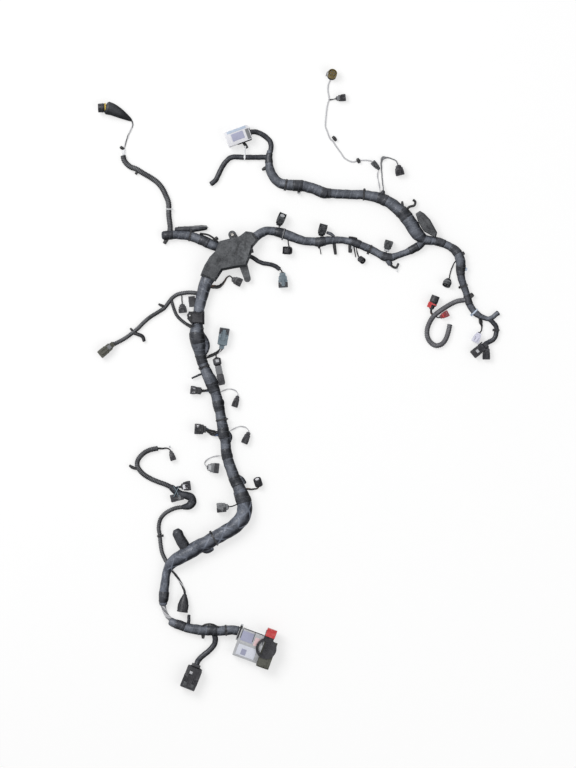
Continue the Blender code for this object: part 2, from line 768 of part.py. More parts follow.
def rod_rings(route, height):
    """Gives the rings of a clip, a hook, a lump of tape or a stub."""
    places = [(*board(c, r, max(height * MM, d * MM / 2)), d * MM / 2) for c, r, d in route]
    curve = smooth(places)
    points = stations(curve, 0.0, lengths_of(curve)[-1], CLIP_STEP)
    rings = []
    for k, (x, y, z, radius) in enumerate(points):
        before, after = points[max(k - 1, 0)], points[min(k + 1, len(points) - 1)]
        section = round_section(2 * radius, 2 * radius, CLIP_SIDES)
        rings.append(ring(Vector((x, y, z)), Vector(after[:3] - before[:3]), section))
    return rings


# Small clips, hooks and lumps of tape that belong to a bundle: name, route and height in millimetres
LEFT_ARM_CLIPS = {
    "strap_end": ([(168.4, 235.6, 9.0), (166.4, 239.4, 10.0), (164.4, 243.0, 9.0)], 6.0),
    "round_clip": ([(212.0, 242.0, 9.0), (214.8, 239.6, 9.0), (217.2, 237.8, 9.5)], 12.0),
}
SLEEVE_CLIPS = {
    "ring_clip": ([(198.0, 300.4, 12.0), (193.4, 300.5, 13.0), (189.2, 300.6, 11.0)], 8.0),
}
RAIL_CLIPS = {
    "tape_point": ([(319.6, 242.6, 14.0), (319.4, 245.2, 10.0), (319.0, 248.0, 4.0)], 9.0),
    "hanging_clip": ([(334.0, 241.6, 8.0), (334.8, 248.0, 8.0), (335.6, 254.0, 7.0)], 6.0),
    "block_clip": ([(350.6, 242.6, 10.0), (350.4, 247.4, 10.0), (350.2, 252.0, 9.0)], 7.0),
    "lump": ([(387.6, 256.6, 16.0), (388.6, 260.4, 15.0), (390.6, 264.4, 11.0)], 9.0),
    "hook": ([(389.8, 263.0, 7.0), (392.6, 266.4, 6.0), (396.4, 267.4, 6.0), (398.6, 263.4, 5.5)], 6.0),
}
TOP_RUN_CLIPS = {
    "corner_clip": ([(267.4, 167.0, 9.0), (264.8, 168.2, 9.0), (262.4, 169.6, 6.0)], 9.0),
    "edge_clip": ([(298.8, 187.6, 8.0), (298.9, 190.6, 8.0), (299.0, 193.6, 6.0)], 9.0),
    "wire_foot": ([(382.6, 194.6, 10.0), (382.9, 192.8, 10.0), (383.4, 190.8, 8.0)], 12.0),
    "fin": ([(402.6, 207.4, 8.0), (402.5, 204.4, 7.0), (402.3, 201.4, 5.0)], 12.0),
    "hook": ([(405.6, 211.0, 7.0), (409.4, 206.8, 6.0), (414.4, 205.2, 6.0), (415.4, 201.6, 6.0),
              (413.4, 199.8, 6.5)], 8.0),
}
RIGHT_RUN_CLIPS = {
    "ball_clip": ([(460.8, 254.8, 9.0), (462.4, 253.8, 9.5), (464.0, 252.8, 9.0)], 12.0),
    "side_knob": ([(463.6, 268.6, 9.0), (465.2, 268.9, 9.0), (466.9, 269.3, 7.0)], 10.0),
    "corner_knob": ([(469.0, 297.2, 12.0), (471.0, 295.8, 12.0), (472.8, 294.4, 11.0)], 8.0),
}
WRAP_CLIPS = {
    "cable_lump": ([(201.6, 333.4, 12.0), (205.4, 340.4, 15.0), (207.0, 347.4, 13.0),
                    (203.8, 354.6, 12.0)], 12.0),
    "thin_stub": ([(205.0, 372.6, 5.0), (198.0, 375.4, 4.5), (191.8, 378.2, 4.0)], 8.0),
    "middle_lump": ([(219.4, 399.6, 13.0), (221.6, 402.0, 13.0), (221.6, 406.0, 12.0)], 12.0),
    "lower_lump": ([(224.8, 431.0, 15.0), (229.0, 436.4, 16.0), (227.4, 442.4, 14.0)], 12.0),
    "bottom_lump": ([(237.6, 477.0, 13.0), (241.2, 479.6, 15.0), (243.6, 483.6, 15.0)], 12.0),
}
BEND_CLIPS = {
    "tower": ([(186.4, 550.0, 27.0), (182.6, 543.4, 26.0), (179.2, 537.0, 25.0), (177.2, 532.6, 24.0)],
              14.0),
    "tower_cap": ([(177.4, 533.0, 23.0), (176.4, 530.8, 18.0), (175.9, 529.4, 9.0)], 14.0),
    "under_lump": ([(201.4, 546.8, 20.0), (206.4, 549.4, 21.0), (211.4, 547.2, 20.0)], 12.0),
}
BOTTOM_RUN_CLIPS = {
    "under_clip": ([(203.0, 632.6, 9.0), (203.0, 635.6, 9.0), (203.0, 638.4, 7.0)], 9.0),
    "boot_strap": ([(187.6, 627.0, 9.0), (188.6, 621.0, 7.5), (188.8, 615.4, 7.0)], 9.0),
}


def clip_skins(clips):
    """Gives the surfaces of a bundle's clips, for wires that leave beside them."""
    return tuple(Skin(rod_rings(route, height)) for route, height in clips.values())


def with_clips(piece, clips):
    """Joins a bundle's small clips and lumps to it."""
    for name, (route, height) in clips.items():
        full_name = f"{piece.name}_{name}"
        combine(piece, helper(full_name, loft(full_name, rod_rings(route, height))), "UNION")
    return piece


def hub_cover(cover):
    """Makes the moulded hub cover with its ear and its tapering foot."""
    piece = add_object(
        "hub_cover",
        prism("hub_cover", board_outline(HUB_OUTLINE), 0.0, cover.height, HUB_CHAMFER),
        COVER,
    )
    foot = prism("hub_foot", board_outline(HUB_FOOT_OUTLINE), 0.0, HUB_FOOT_HEIGHT)
    combine(piece, helper("hub_foot", foot), "UNION")
    toe = prism("hub_toe", disc_outline(board(*HUB_FOOT_END), HUB_FOOT_RADIUS), 0.0, HUB_FOOT_HEIGHT)
    combine(piece, helper("hub_toe", toe), "UNION")
    arm = prism("hub_ear_arm", board_outline(HUB_EAR_ARM), 0.0, EAR_HEIGHT - MM)
    combine(piece, helper("hub_ear_arm", arm), "UNION")
    ear = prism("hub_ear", disc_outline(board(*HUB_EAR), EAR_RADIUS), 0.0, EAR_HEIGHT)
    combine(piece, helper("hub_ear", ear), "UNION")
    dish_floor = EAR_HEIGHT - EAR_DISH_DEPTH
    dish = prism("hub_dish", disc_outline(board(*HUB_EAR), EAR_DISH_RADIUS), dish_floor, HUB_HEIGHT)
    combine(piece, helper("hub_dish", dish), "DIFFERENCE")
    return piece


def junction_cover(top_run, right_run):
    """Makes the moulded junction cover that fits against the right end of the top run."""
    outline = board_outline(JUNCTION_OUTLINE)
    mesh = prism("junction_cover", outline, 0.0, JUNCTION_HEIGHT, JUNCTION_CHAMFER)
    piece = add_object("junction_cover", mesh, DARK_GREY)
    combine(piece, bore_of("junction_bore", top_run), "DIFFERENCE")
    combine(piece, bore_of("junction_run_bore", right_run), "DIFFERENCE")
    far_side = [(400.0, 205.0), (414.0, 208.0), (418.6, 222.0), (424.0, 231.0), (434.0, 236.6),
                (436.0, 250.0), (400.0, 250.0)]
    cut = prism("junction_far_side", board_outline(far_side), -MM, 2 * JUNCTION_HEIGHT)
    return combine(piece, helper("junction_far_side", cut), "DIFFERENCE")


def trunk_bracket(sleeve):
    """Makes the bracket that straddles the sleeve, with a plate and a screw eye on one side."""
    rows = (sleeve.curve[:, 1] >= board(0, 324.4).y) & (sleeve.curve[:, 1] <= board(0, 311.4).y)
    widest = float(sleeve.curve[rows, 3].max())
    top = 2 * widest + GAP + BRACKET_WALL
    piece = add_object(
        "trunk_bracket",
        prism("trunk_bracket", board_outline(BRACKET_OUTLINE), 0.0, top, 2 * BRACKET_WALL),
        BLACK,
    )
    plate_cut = rectangle(
        board(180, 0).x, board(0, 330).y, board(192.4, 0).x, board(0, 305).y
    )
    cutter = prism("bracket_plate_cut", plate_cut, BRACKET_PLATE, 2 * top)
    combine(piece, helper("bracket_plate_cut", cutter), "DIFFERENCE")
    eye = prism("bracket_eye", disc_outline(board(*BRACKET_EYE), BRACKET_EYE_RADIUS), 0.0,
                BRACKET_PLATE + MM)
    combine(piece, helper("bracket_eye", eye), "UNION")
    hole = prism("bracket_hole", disc_outline(board(*BRACKET_EYE), BRACKET_HOLE_RADIUS, 16), -MM,
                 2 * top)
    combine(piece, helper("bracket_hole", hole), "DIFFERENCE")
    combine(piece, bore_of("bracket_bore", sleeve), "DIFFERENCE")
    under = prism(
        "bracket_floor_cut",
        rectangle(board(194.2, 0).x, board(0, 330).y, board(210, 0).x, board(0, 305).y),
        -MM,
        0.3 * widest,
    )
    return combine(piece, helper("bracket_floor_cut", under), "DIFFERENCE")


class UnitFrame:
    """Places pieces of the control unit connector: x along it, y towards its lever's bar."""

    def __init__(self, column, row):
        self.matrix = Matrix.Translation(board(column, row)) @ Matrix.Rotation(UNIT_TURN, 4, "Z")

    def outline(self, points):
        """Turns (x, y) points of this frame into an outline in metres."""
        return [(self.matrix @ Vector((x, y, 0.0))).xy[:] for x, y in points]

    def place(self, x, y, z=0.0):
        """Turns one point of this frame into a place."""
        return self.matrix @ Vector((x, y, z))


UNIT = UnitFrame(238.4, 631.6)
UNIT_HOUSING_START = UNIT_COLLAR_LENGTH + UNIT_COVER_LENGTH + GAP
UNIT_PIVOT = (UNIT_HOUSING_START + LEVER_PIVOT_ALONG, -LEVER_PIVOT_DOWN)


def unit_collar_face():
    """The face of the cable collar that the bottom run ends at."""
    rear = UNIT.place(0.0, 0.0)
    return Face(rear, rear - UNIT.place(1.0, 0.0))


def unit_cover():
    """Makes the wire cover with its sloping side and its cable collar."""
    start, end = UNIT_COLLAR_LENGTH - MM, UNIT_COLLAR_LENGTH + UNIT_COVER_LENGTH
    section = [
        (UNIT_COVER_TOP_SIDE, 0.0), (UNIT_COVER_TOP_SIDE, UNIT_COVER_HEIGHT - 2 * MM),
        (UNIT_COVER_TOP_SIDE - 2 * MM, UNIT_COVER_HEIGHT), (-UNIT_RIDGE, UNIT_COVER_HEIGHT),
        (-UNIT_COVER_LOW_SIDE, UNIT_SLOPE_HEIGHT), (-UNIT_COVER_LOW_SIDE, 0.0),
    ]
    rings = [[UNIT.place(x, y, z) for y, z in section] for x in (start, end)]
    piece = add_object("unit_cover", loft("unit_cover", rings), DARK_GREY)
    half, tall = UNIT_COLLAR_WIDTH / 2, UNIT_COVER_HEIGHT - 2 * MM
    rings = []
    for x in (0.0, UNIT_COLLAR_LENGTH):
        section = box_section(2 * half, tall, ROUND_SIDES, 0.4)
        rings.append([UNIT.place(x, y, z + tall / 2) for y, z in section])
    collar = loft("unit_collar", rings)
    return combine(piece, helper("unit_collar", collar), "UNION")


def unit_housing():
    """Makes the connector housing: a shell round a terminal block, with the lever's pivot holes."""
    width, height = UNIT_HOUSING_WIDTH, UNIT_HOUSING_HIGH - UNIT_HOUSING_LOW
    middle_y = UNIT_HOUSING_TOP_SIDE - width / 2
    middle_z = UNIT_HOUSING_LOW + height / 2
    end = UNIT_HOUSING_START + UNIT_HOUSING_LENGTH
    wall, slot, depth = 2 * MM, 2.4 * MM, 2 * MOUTH_DEPTH
    steps = [
        (UNIT_HOUSING_START, 0.0), (end, 0.0), (end, wall), (end - depth, wall),
        (end - depth, wall + slot), (end - MOUTH_SINK, wall + slot),
    ]
    rings = []
    for x, inset in steps:
        section = box_section(width - 2 * inset, height - 2 * inset, PLUG_SIDES, 0.08)
        rings.append([UNIT.place(x, middle_y + y, middle_z + z) for y, z in section])
    piece = add_object("unit_housing", loft("unit_housing", rings), OLIVE)
    bore = LEVER_PIN_RADIUS + LEVER_CLEARANCE
    centre = UNIT.place(*UNIT_PIVOT)
    depth = LEVER_PIN_LENGTH + GAP
    top = prism("top_pivot_bore", disc_outline(centre, bore), UNIT_HOUSING_HIGH - depth, 2 * height)
    low = prism("low_pivot_bore", disc_outline(centre, bore), 0.0, UNIT_HOUSING_LOW + depth)
    combine(piece, helper("top_pivot_bore", top), "DIFFERENCE")
    return combine(piece, helper("low_pivot_bore", low), "DIFFERENCE")


def lever_prism(name, points, low, high):
    """Extrudes an outline given from the lever's pivot."""
    px, py = UNIT_PIVOT
    return prism(name, UNIT.outline([(px + x, py + y) for x, y in points]), low, high)


def unit_lever():
    """Makes the lever: a cheek above the housing, an arm below it and a bar that joins them."""
    cheek_low = UNIT_HOUSING_HIGH + GAP
    cheek_high = cheek_low + LEVER_THICK
    arm_high = UNIT_HOUSING_LOW - GAP
    arm_low = arm_high - LEVER_THICK
    bar_end = LEVER_REACH + LEVER_BAR_DEPTH
    circle = [(LEVER_RADIUS * math.cos(t), LEVER_RADIUS * math.sin(t))
              for t in np.arange(32) * math.tau / 32]
    piece = add_object("unit_lever", lever_prism("unit_lever", circle, cheek_low, cheek_high), BLACK)
    hub_edge = LEVER_PIN_RADIUS + 2 * MM
    spread = math.acos(hub_edge / LEVER_WINDOW_RADIUS)
    window = [(LEVER_WINDOW_RADIUS * math.cos(math.pi + t), LEVER_WINDOW_RADIUS * math.sin(math.pi + t))
              for t in np.linspace(-spread, spread, 13)]
    cut = lever_prism("lever_window", window, 0.0, 2 * cheek_high)
    combine(piece, helper("lever_window", cut), "DIFFERENCE")
    back, front = -LEVER_BAR_BACK, LEVER_BAR_FRONT
    top_arm = rectangle(back, 0.8 * LEVER_WINDOW_RADIUS, front, bar_end)
    combine(piece, helper("top_arm", lever_prism("top_arm", top_arm, cheek_low, cheek_high)), "UNION")
    bar = rectangle(back, LEVER_REACH, front, bar_end)
    combine(piece, helper("lever_bar", lever_prism("lever_bar", bar, arm_low, cheek_high)), "UNION")
    half = LEVER_LOW_ARM_HALF
    tip = [(half * math.cos(t), half * math.sin(t)) for t in np.linspace(math.pi, math.tau, 9)]
    low_arm = [*tip, (half, bar_end), (-half, bar_end)]
    combine(piece, helper("low_arm", lever_prism("low_arm", low_arm, arm_low, arm_high)), "UNION")
    centre = UNIT.place(*UNIT_PIVOT)
    pin_outline = disc_outline(centre, LEVER_PIN_RADIUS)
    top_pin = prism("top_pin", pin_outline, cheek_low - LEVER_PIN_LENGTH, cheek_low + MM)
    low_pin = prism("low_pin", pin_outline, arm_high - MM, arm_high + LEVER_PIN_LENGTH)
    combine(piece, helper("top_pin", top_pin), "UNION")
    combine(piece, helper("low_pin", low_pin), "UNION")
    groove_half = LOCK_RIB_WIDTH / 2 + GAP
    groove = rectangle(-groove_half, LEVER_REACH + MM, groove_half, bar_end + MM)
    groove_low = cheek_high - LOCK_RIB_DEPTH - GAP
    cut = lever_prism("lock_groove", groove, groove_low, 2 * cheek_high)
    return combine(piece, helper("lock_groove", cut), "DIFFERENCE")


def unit_lock():
    """Makes the red lock that caps the lever's bar and slides outwards in its groove."""
    bar_top = UNIT_HOUSING_HIGH + GAP + LEVER_THICK
    bar_end = LEVER_REACH + LEVER_BAR_DEPTH
    low, high = bar_top + GAP, bar_top + GAP + LOCK_PLATE
    back, front = -LEVER_BAR_BACK + MM, LEVER_BAR_FRONT + MM
    outer = bar_end + GAP + LOCK_OVERHANG
    plate = rectangle(back, LEVER_REACH - LOCK_TOP_REACH, front, outer)
    piece = add_object("unit_lock", lever_prism("unit_lock", plate, low, high), RED)
    skirt = rectangle(back, bar_end + GAP, front, outer)
    skirt_mesh = lever_prism("lock_skirt", skirt, high - LOCK_SKIRT, high)
    combine(piece, helper("lock_skirt", skirt_mesh), "UNION")
    half = LOCK_RIB_WIDTH / 2
    rib = rectangle(-half, LEVER_REACH + MM + GAP, half, bar_end + MM)
    rib_mesh = lever_prism("lock_rib", rib, bar_top - LOCK_RIB_DEPTH, low + MM)
    return combine(piece, helper("lock_rib", rib_mesh), "UNION")


STRAIGHT = ((0.0, 1.0), (1.0, 1.0))
NECKED = ((0.0, 0.52), (0.16, 0.52), (0.2, 1.0), (1.0, 1.0))
BELL = ((0.0, 0.36), (0.3, 0.78), (0.62, 1.0), (1.0, 1.0))


class Harness:
    """Lays out the whole harness: covers and thick bundles, leads and connectors."""

    def __init__(self):
        hub = Cover(HUB_OUTLINE, HUB_HEIGHT)
        self.hub = hub
        self.sleeve = Bundle(TRUNK_SLEEVE).shorten(near_start=(hub,))
        self.wrap = Bundle(TRUNK_WRAP).shorten(near_start=(self.sleeve.end_face,))
        self.bottom_run = Bundle(BOTTOM_RUN).shorten(near_end=(unit_collar_face(),))
        self.bend = Bundle(TRUNK_BEND).shorten(
            near_start=(self.wrap.end_face,), near_end=(self.bottom_run.start_face,)
        )
        self.left_arm = Bundle(LEFT_ARM).shorten(near_end=(hub,))
        self.top_run = Bundle(TOP_RUN)
        self.rail = Bundle(RAIL).shorten(near_start=(hub,), near_end=(self.top_run,))
        self.right_run = Bundle(RIGHT_RUN).shorten(near_start=(self.top_run.end_face,))
        self.splice = Bundle(SPLICE)
        self.plugs = []
        self.leads = []

    def plug(self, name, finish, rear, front, width, height, **options):
        """Adds one connector."""
        made = Plug(name, finish, rear, front, width, height, **options)
        self.plugs.append(made)
        return made

    def lead(self, name, finish, diameter, route, leaves, meets=()):
        """Adds one free lead."""
        made = Lead(name, finish, diameter, route, leaves, meets)
        self.leads.append(made)
        return made

    def build_bundles(self):
        """Makes the covers and the thick bundles with their clips."""
        hub_cover(self.hub)
        junction_cover(self.top_run, self.right_run)
        trunk_bracket(self.sleeve)
        sleeve = bundle_piece("trunk_sleeve", self.sleeve, SLEEVE)
        with_clips(sleeve, SLEEVE_CLIPS)
        with_clips(bundle_piece("trunk_wrap", self.wrap, TAPE), WRAP_CLIPS)
        with_clips(bundle_piece("trunk_bend", self.bend, TAPE_BLUE), BEND_CLIPS)
        arm = bundle_piece("left_arm_bundle", self.left_arm, CONDUIT, round_start=True)
        strip = Bundle(LEFT_ARM_STRIP).rings(round_start=True, round_end=True)
        combine(arm, helper("left_arm_strip", loft("left_arm_strip", strip)), "UNION")
        with_clips(arm, LEFT_ARM_CLIPS)
        rail = with_clips(bundle_piece("rail_bundle", self.rail, CONDUIT), RAIL_CLIPS)
        ring_plug = Plug(
            "rail_ring", BLACK, (360.0, 258.4), (363.4, 261.2), 15.0, 15.0, rise=9.0, round=True,
            profile=STRAIGHT, latch=False, wires=((356.0, 244.4), (357.0, 251.0), (358.6, 256.4)),
        )
        combine(rail, ring_plug.build(), "UNION")
        with_clips(bundle_piece("top_run_bundle", self.top_run, TAPE), TOP_RUN_CLIPS)
        run = bundle_piece("right_run_bundle", self.right_run, TAPE, round_end=True)
        with_clips(run, RIGHT_RUN_CLIPS)
        with_clips(bundle_piece("bottom_run_bundle", self.bottom_run, TAPE), BOTTOM_RUN_CLIPS)
        splice = bundle_piece("lower_left_splice", self.splice, TAPE)
        lower = Plug(
            "splice_lower", BLACK, (183.0, 496.2), (170.5, 499.0), 17.0, 17.0, profile=STRAIGHT
        )
        combine(splice, lower.build(), "UNION")

    def add_upper_left(self):
        """Adds the lead that climbs from the left arm to the boot."""
        lead = self.lead("upper_left_lead", CONDUIT, 13.0, [
            (169.7, 232.5), (170.0, 226.0), (168.7, 215.0), (168.4, 203.0), (165.5, 195.0),
            (162.0, 188.0), (157.0, 182.0), (150.0, 177.0), (143.0, 173.0), (136.0, 168.7),
            (131.0, 167.0), (127.0, 164.0), (124.0, 160.0), (123.0, 156.0),
        ], (self.left_arm,))
        self.plug(
            "upper_left_boot", BLACK, (105.8, 107.6), (98.0, 108.0), 21.0, 21.0, round=True,
            profile=STRAIGHT, lift=5.5, latch=False, leaves=(lead.end_face,),
            wires=(
                (123.0, 157.6, 4.0), (123.6, 151.0, 4.0), (125.2, 143.0, 4.0), (128.3, 134.4, 4.0),
                (131.2, 128.0, 4.0), (132.4, 123.8, 4.0), (131.4, 120.4, 5.0), (128.6, 118.4, 11.0),
                (121.0, 113.9, 22.0), (113.0, 109.7, 29.0), (107.6, 107.9, 32.0),
            ),
        )

    def add_top(self):
        """Adds the top run's leads and connectors."""
        clips = clip_skins(TOP_RUN_CLIPS)
        box = self.plug(
            "box_connector", PALE, (250.0, 131.6), (226.5, 140.2), 36.0, 30.0, latch=False,
            profile=((0.0, 0.94), (0.1, 1.0), (1.0, 1.0)),
        )
        self.lead("top_loop_lead", CONDUIT, 12.0, [
            (270.1, 152.0), (271.0, 147.0), (270.0, 141.0), (265.0, 136.0), (260.0, 133.0),
            (255.0, 131.6), (248.8, 132.4),
        ], (self.top_run.start_face,), (box.face,))
        self.lead("top_branch_lead", CONDUIT, 12.0, [
            (268.0, 157.0), (255.0, 157.0), (245.0, 157.0), (232.0, 157.0), (226.0, 161.0),
            (222.0, 167.0), (218.5, 174.0), (215.5, 180.0), (211.0, 183.5),
        ], (self.top_run,))
        first = self.plug(
            "fine_connector_a", GREY, (379.2, 168.7), (372.5, 161.5), 12.0, 11.0, mouth=False,
            wires=((380.6, 194.0), (379.2, 184.0), (377.8, 176.0), (378.2, 171.6)),
            leaves=(self.top_run, *clips),
        )
        self.plug(
            "fine_connector_b", BLACK, (398.3, 165.5), (400.5, 175.0), 20.0, 17.0,
            wires=(
                (383.9, 193.0), (382.5, 180.0), (381.7, 168.0, 3.4), (381.6, 161.0, 5.0),
                (383.4, 157.8, 10.0), (387.0, 157.2, 4.0), (392.0, 158.4, 3.4), (396.4, 160.8),
            ),
            leaves=(self.top_run, *clips),
        )
        long_lead = self.lead("thin_long_lead", CONDUIT, 3.6, [
            (373.2, 162.0), (369.4, 160.2), (362.0, 160.0), (357.6, 160.6), (352.0, 161.5),
            (345.0, 158.0), (341.0, 152.5), (337.0, 147.0), (333.0, 141.0), (330.0, 138.0),
            (327.0, 130.0), (325.5, 125.0), (326.5, 112.0), (327.5, 105.0), (329.0, 99.5),
            (329.0, 96.0), (328.0, 90.0), (328.5, 84.0), (330.2, 80.0),
        ], (first.front_face,))
        self.plug(
            "fine_connector_c", GREY, (336.5, 98.2), (345.8, 97.0), 15.6, 13.0,
            wires=((329.4, 99.4), (332.6, 99.0, 4.0)), leaves=(long_lead.tube,),
        )
        self.plug(
            "round_gold_connector", GOLD_BROWN, (331.4, 76.6), (332.7, 72.8), 21.6, 21.6, rise=20.0,
            round=True, latch=False, wires=((330.1, 80.4), (330.6, 79.2)),
            leaves=(long_lead.end_face,), side_entry=True,
        )

    def add_rail(self):
        """Adds the connectors that stand along the rail and the lead from the hub cover."""
        rail = (self.rail, *clip_skins(RAIL_CLIPS))
        self.plug(
            "rail_connector_1", GREY, (279.0, 224.0), (282.5, 215.5), 18.0, 20.0, rise=18.0,
            wires=((279.6, 231.0), (279.2, 226.6)), leaves=rail,
        )
        self.plug(
            "rail_connector_2", BLACK, (290.6, 250.6), (285.3, 250.3), 18.0, 17.0, rise=16.0,
            wires=((287.6, 237.0), (288.4, 243.0), (289.2, 247.4)), leaves=rail, side_entry=True,
        )
        self.plug(
            "rail_connector_3", GREY, (321.2, 234.6), (323.5, 226.0), 19.0, 17.0, rise=16.0,
            wires=((320.6, 241.0), (320.9, 237.2)), leaves=rail,
        )
        self.plug(
            "rail_connector_4", GREY, (386.8, 250.1), (389.4, 240.8), 19.0, 17.0, rise=4.0,
            wires=((385.6, 255.6), (386.2, 252.6)), leaves=rail,
        )
        cover_lead = self.lead("cover_lead", CONDUIT, 10.0, [
            (248.0, 255.8), (253.0, 257.5), (258.0, 261.0), (263.0, 263.0), (269.0, 264.0),
            (275.0, 265.8), (279.5, 268.8),
        ], (self.hub,))
        self.plug(
            "green_grey_connector", BLUE_GREY, (282.4, 272.8), (283.3, 287.5), 21.6, 20.0,
            wires=((278.9, 268.3), (281.2, 270.2)), leaves=(cover_lead.end_face,),
        )

    def add_right(self):
        """Adds the right run's leads and connectors."""
        run = (self.right_run, *clip_skins(RIGHT_RUN_CLIPS))
        self.plug(
            "round_grey_connector", GREY, (448.8, 279.5), (446.3, 285.5), 20.0, 20.0, rise=8.0,
            round=True, latch=False, leaves=run,
            wires=((457.6, 258.6), (455.0, 262.0), (452.5, 267.0), (450.5, 273.0), (449.8, 277.0)),
        )
        loop = self.lead("right_loop_lead", CONDUIT, 12.0, [
            (467.0, 299.6), (458.0, 301.0), (452.0, 303.5), (446.0, 307.0), (440.0, 311.0),
            (434.0, 316.0), (430.0, 322.0), (427.5, 329.0), (427.5, 336.0), (430.5, 342.0),
            (436.0, 345.5), (442.0, 344.0), (446.0, 339.0), (448.5, 332.0), (450.0, 325.0),
        ], (self.right_run,))
        self.plug(
            "red_lock_connector", BLACK, (431.3, 308.4), (436.0, 295.8), 20.0, 20.0, round=True,
            latch=False, wires=((434.4, 316.0, 6.0), (431.4, 312.4, 6.0)), leaves=(loop.tube,),
        )
        self.plug(
            "red_mark_connector", RED_MARKED, (440.6, 317.0), (448.6, 312.8), 14.4, 13.0,
            wires=((435.6, 314.6), (437.4, 317.4)), leaves=(loop.tube,), side_entry=True,
        )
        self.plug(
            "white_connector", LILAC, (479.5, 333.0), (475.0, 342.0), 17.0, 15.0, leaves=run,
            wires=((480.4, 317.0, 9.6), (481.2, 322.6, 9.6), (482.2, 326.4, 4.0), (481.6, 330.6)),
        )
        pair = self.plug(
            "pair_connector", BLACK, (487.0, 343.5), (472.8, 355.0), 20.0, 18.0, latch=False,
        )
        self.lead("right_end_lead", CONDUIT, 11.0, [
            (489.0, 318.4), (493.0, 322.0), (496.5, 327.0), (496.5, 333.0), (494.0, 339.0),
            (486.0, 343.6),
        ], (self.right_run,), (pair.face,))

    def add_left(self):
        """Adds the left branch and what leaves the trunk above its narrow neck."""
        end = self.plug("left_end_connector", OLIVE, (113.5, 343.5), (99.5, 355.0), 19.0, 18.0)
        branch = self.lead("left_branch_lead", CONDUIT, 10.0, [
            (199.0, 293.4), (190.0, 292.4), (183.0, 293.0), (177.0, 294.5), (172.0, 298.0),
            (168.0, 303.0), (164.0, 308.0), (158.0, 312.0), (150.0, 317.0), (144.0, 322.0),
            (138.0, 328.0), (132.0, 333.0), (126.0, 337.5), (120.0, 341.0), (112.0, 345.0),
        ], (self.sleeve,), (end.face,))
        self.lead("left_loop_lead", CONDUIT, 8.0, [
            (171.0, 299.0), (173.5, 308.0), (176.5, 315.0), (181.0, 320.0), (187.0, 324.4),
            (197.0, 330.0),
        ], (branch.tube,), (self.wrap, self.sleeve))
        self.plug(
            "small_black_connector", BLACK, (182.0, 304.5), (182.8, 312.8), 19.0, 16.0,
            wires=((181.6, 293.6), (181.8, 299.0), (182.0, 302.6)), leaves=(branch.tube,),
        )
        self.plug(
            "hanging_black_connector", BLACK, (232.5, 279.0), (241.5, 283.0), 19.0, 17.0,
            leaves=(self.sleeve,),
            wires=(
                (209.0, 286.0, 9.6), (214.5, 286.8, 9.6), (219.0, 286.4, 9.0), (223.4, 282.6, 6.0),
                (226.6, 277.6, 4.0), (229.4, 275.8, 3.4), (231.6, 277.2),
            ),
        )

    def add_trunk(self):
        """Adds the connectors that leave the trunk on both sides."""
        trunk = (self.wrap, self.bend, *clip_skins(WRAP_CLIPS))
        blue = self.plug(
            "blue_grey_connector", BLUE_GREY, (221.4, 348.8), (224.8, 328.0), 23.0, 20.0,
            profile=NECKED, wire_width=8.0 * MM, leaves=trunk,
            wires=((203.0, 358.2), (210.0, 355.9), (216.0, 353.2), (219.6, 350.6)),
        )
        self.plug(
            "stacked_connector", BLACK, (216.2, 357.6), (222.0, 385.0), 16.0, 15.0, mouth=False,
            latch=False, leaves=(blue.tail,), wires=((216.0, 353.0, 4.0), (216.0, 356.0, 4.0)),
            profile=((0.0, 0.5), (0.04, 1.2), (0.24, 1.2), (0.28, 0.85), (0.62, 0.9), (0.66, 1.0),
                     (1.0, 1.0)),
        )
        self.plug(
            "mouth_connector_a", BLACK, (201.0, 391.0), (190.3, 389.8), 19.0, 17.0, leaves=trunk,
            wire_width=7.0 * MM, wires=((212.0, 390.0), (205.4, 390.7)),
            profile=((0.0, 0.9), (0.5, 0.9), (0.52, 1.0), (1.0, 1.0)),
        )
        self.plug(
            "mouth_connector_b", BLACK, (206.0, 429.5), (194.5, 428.8), 24.0, 20.0, leaves=trunk,
            wires=((221.0, 434.4, 12.0), (212.6, 433.0, 15.0), (208.0, 430.6, 9.6)),
        )
        self.plug(
            "side_connector_a", BLACK, (237.6, 396.4), (234.2, 407.0), 14.4, 13.0, leaves=trunk,
            wires=((216.0, 394.6), (222.6, 391.0), (229.0, 389.0), (235.4, 390.6), (237.8, 394.2)),
        )
        self.plug(
            "side_connector_b", BLACK, (248.6, 432.8), (244.0, 443.5), 15.6, 14.0, leaves=trunk,
            wires=((226.0, 433.6), (233.6, 429.0), (239.6, 426.6), (245.8, 427.6), (248.6, 430.8)),
        )
        self.plug(
            "dome_connector", GREY, (207.6, 467.4), (219.0, 468.5), 23.0, 20.0, leaves=trunk,
            side_entry=True, latch=False,
            wires=((225.0, 455.6), (215.0, 456.5), (208.2, 459.0), (204.4, 463.6)),
        )
        self.plug(
            "ring_terminal", BLACK, (259.0, 485.5), (257.0, 479.0), 19.0, 17.0, rise=9.0,
            round=True, latch=False, leaves=trunk, profile=STRAIGHT, side_entry=True,
            wires=((245.0, 489.0, 6.0), (252.0, 489.4, 5.0), (257.0, 488.6, 4.0)),
        )
        self.plug(
            "small_lower_connector", LILAC, (228.0, 507.0), (216.8, 508.0), 21.6, 18.0,
            leaves=trunk, wires=((241.0, 502.6), (234.0, 505.8), (230.0, 506.7)),
        )

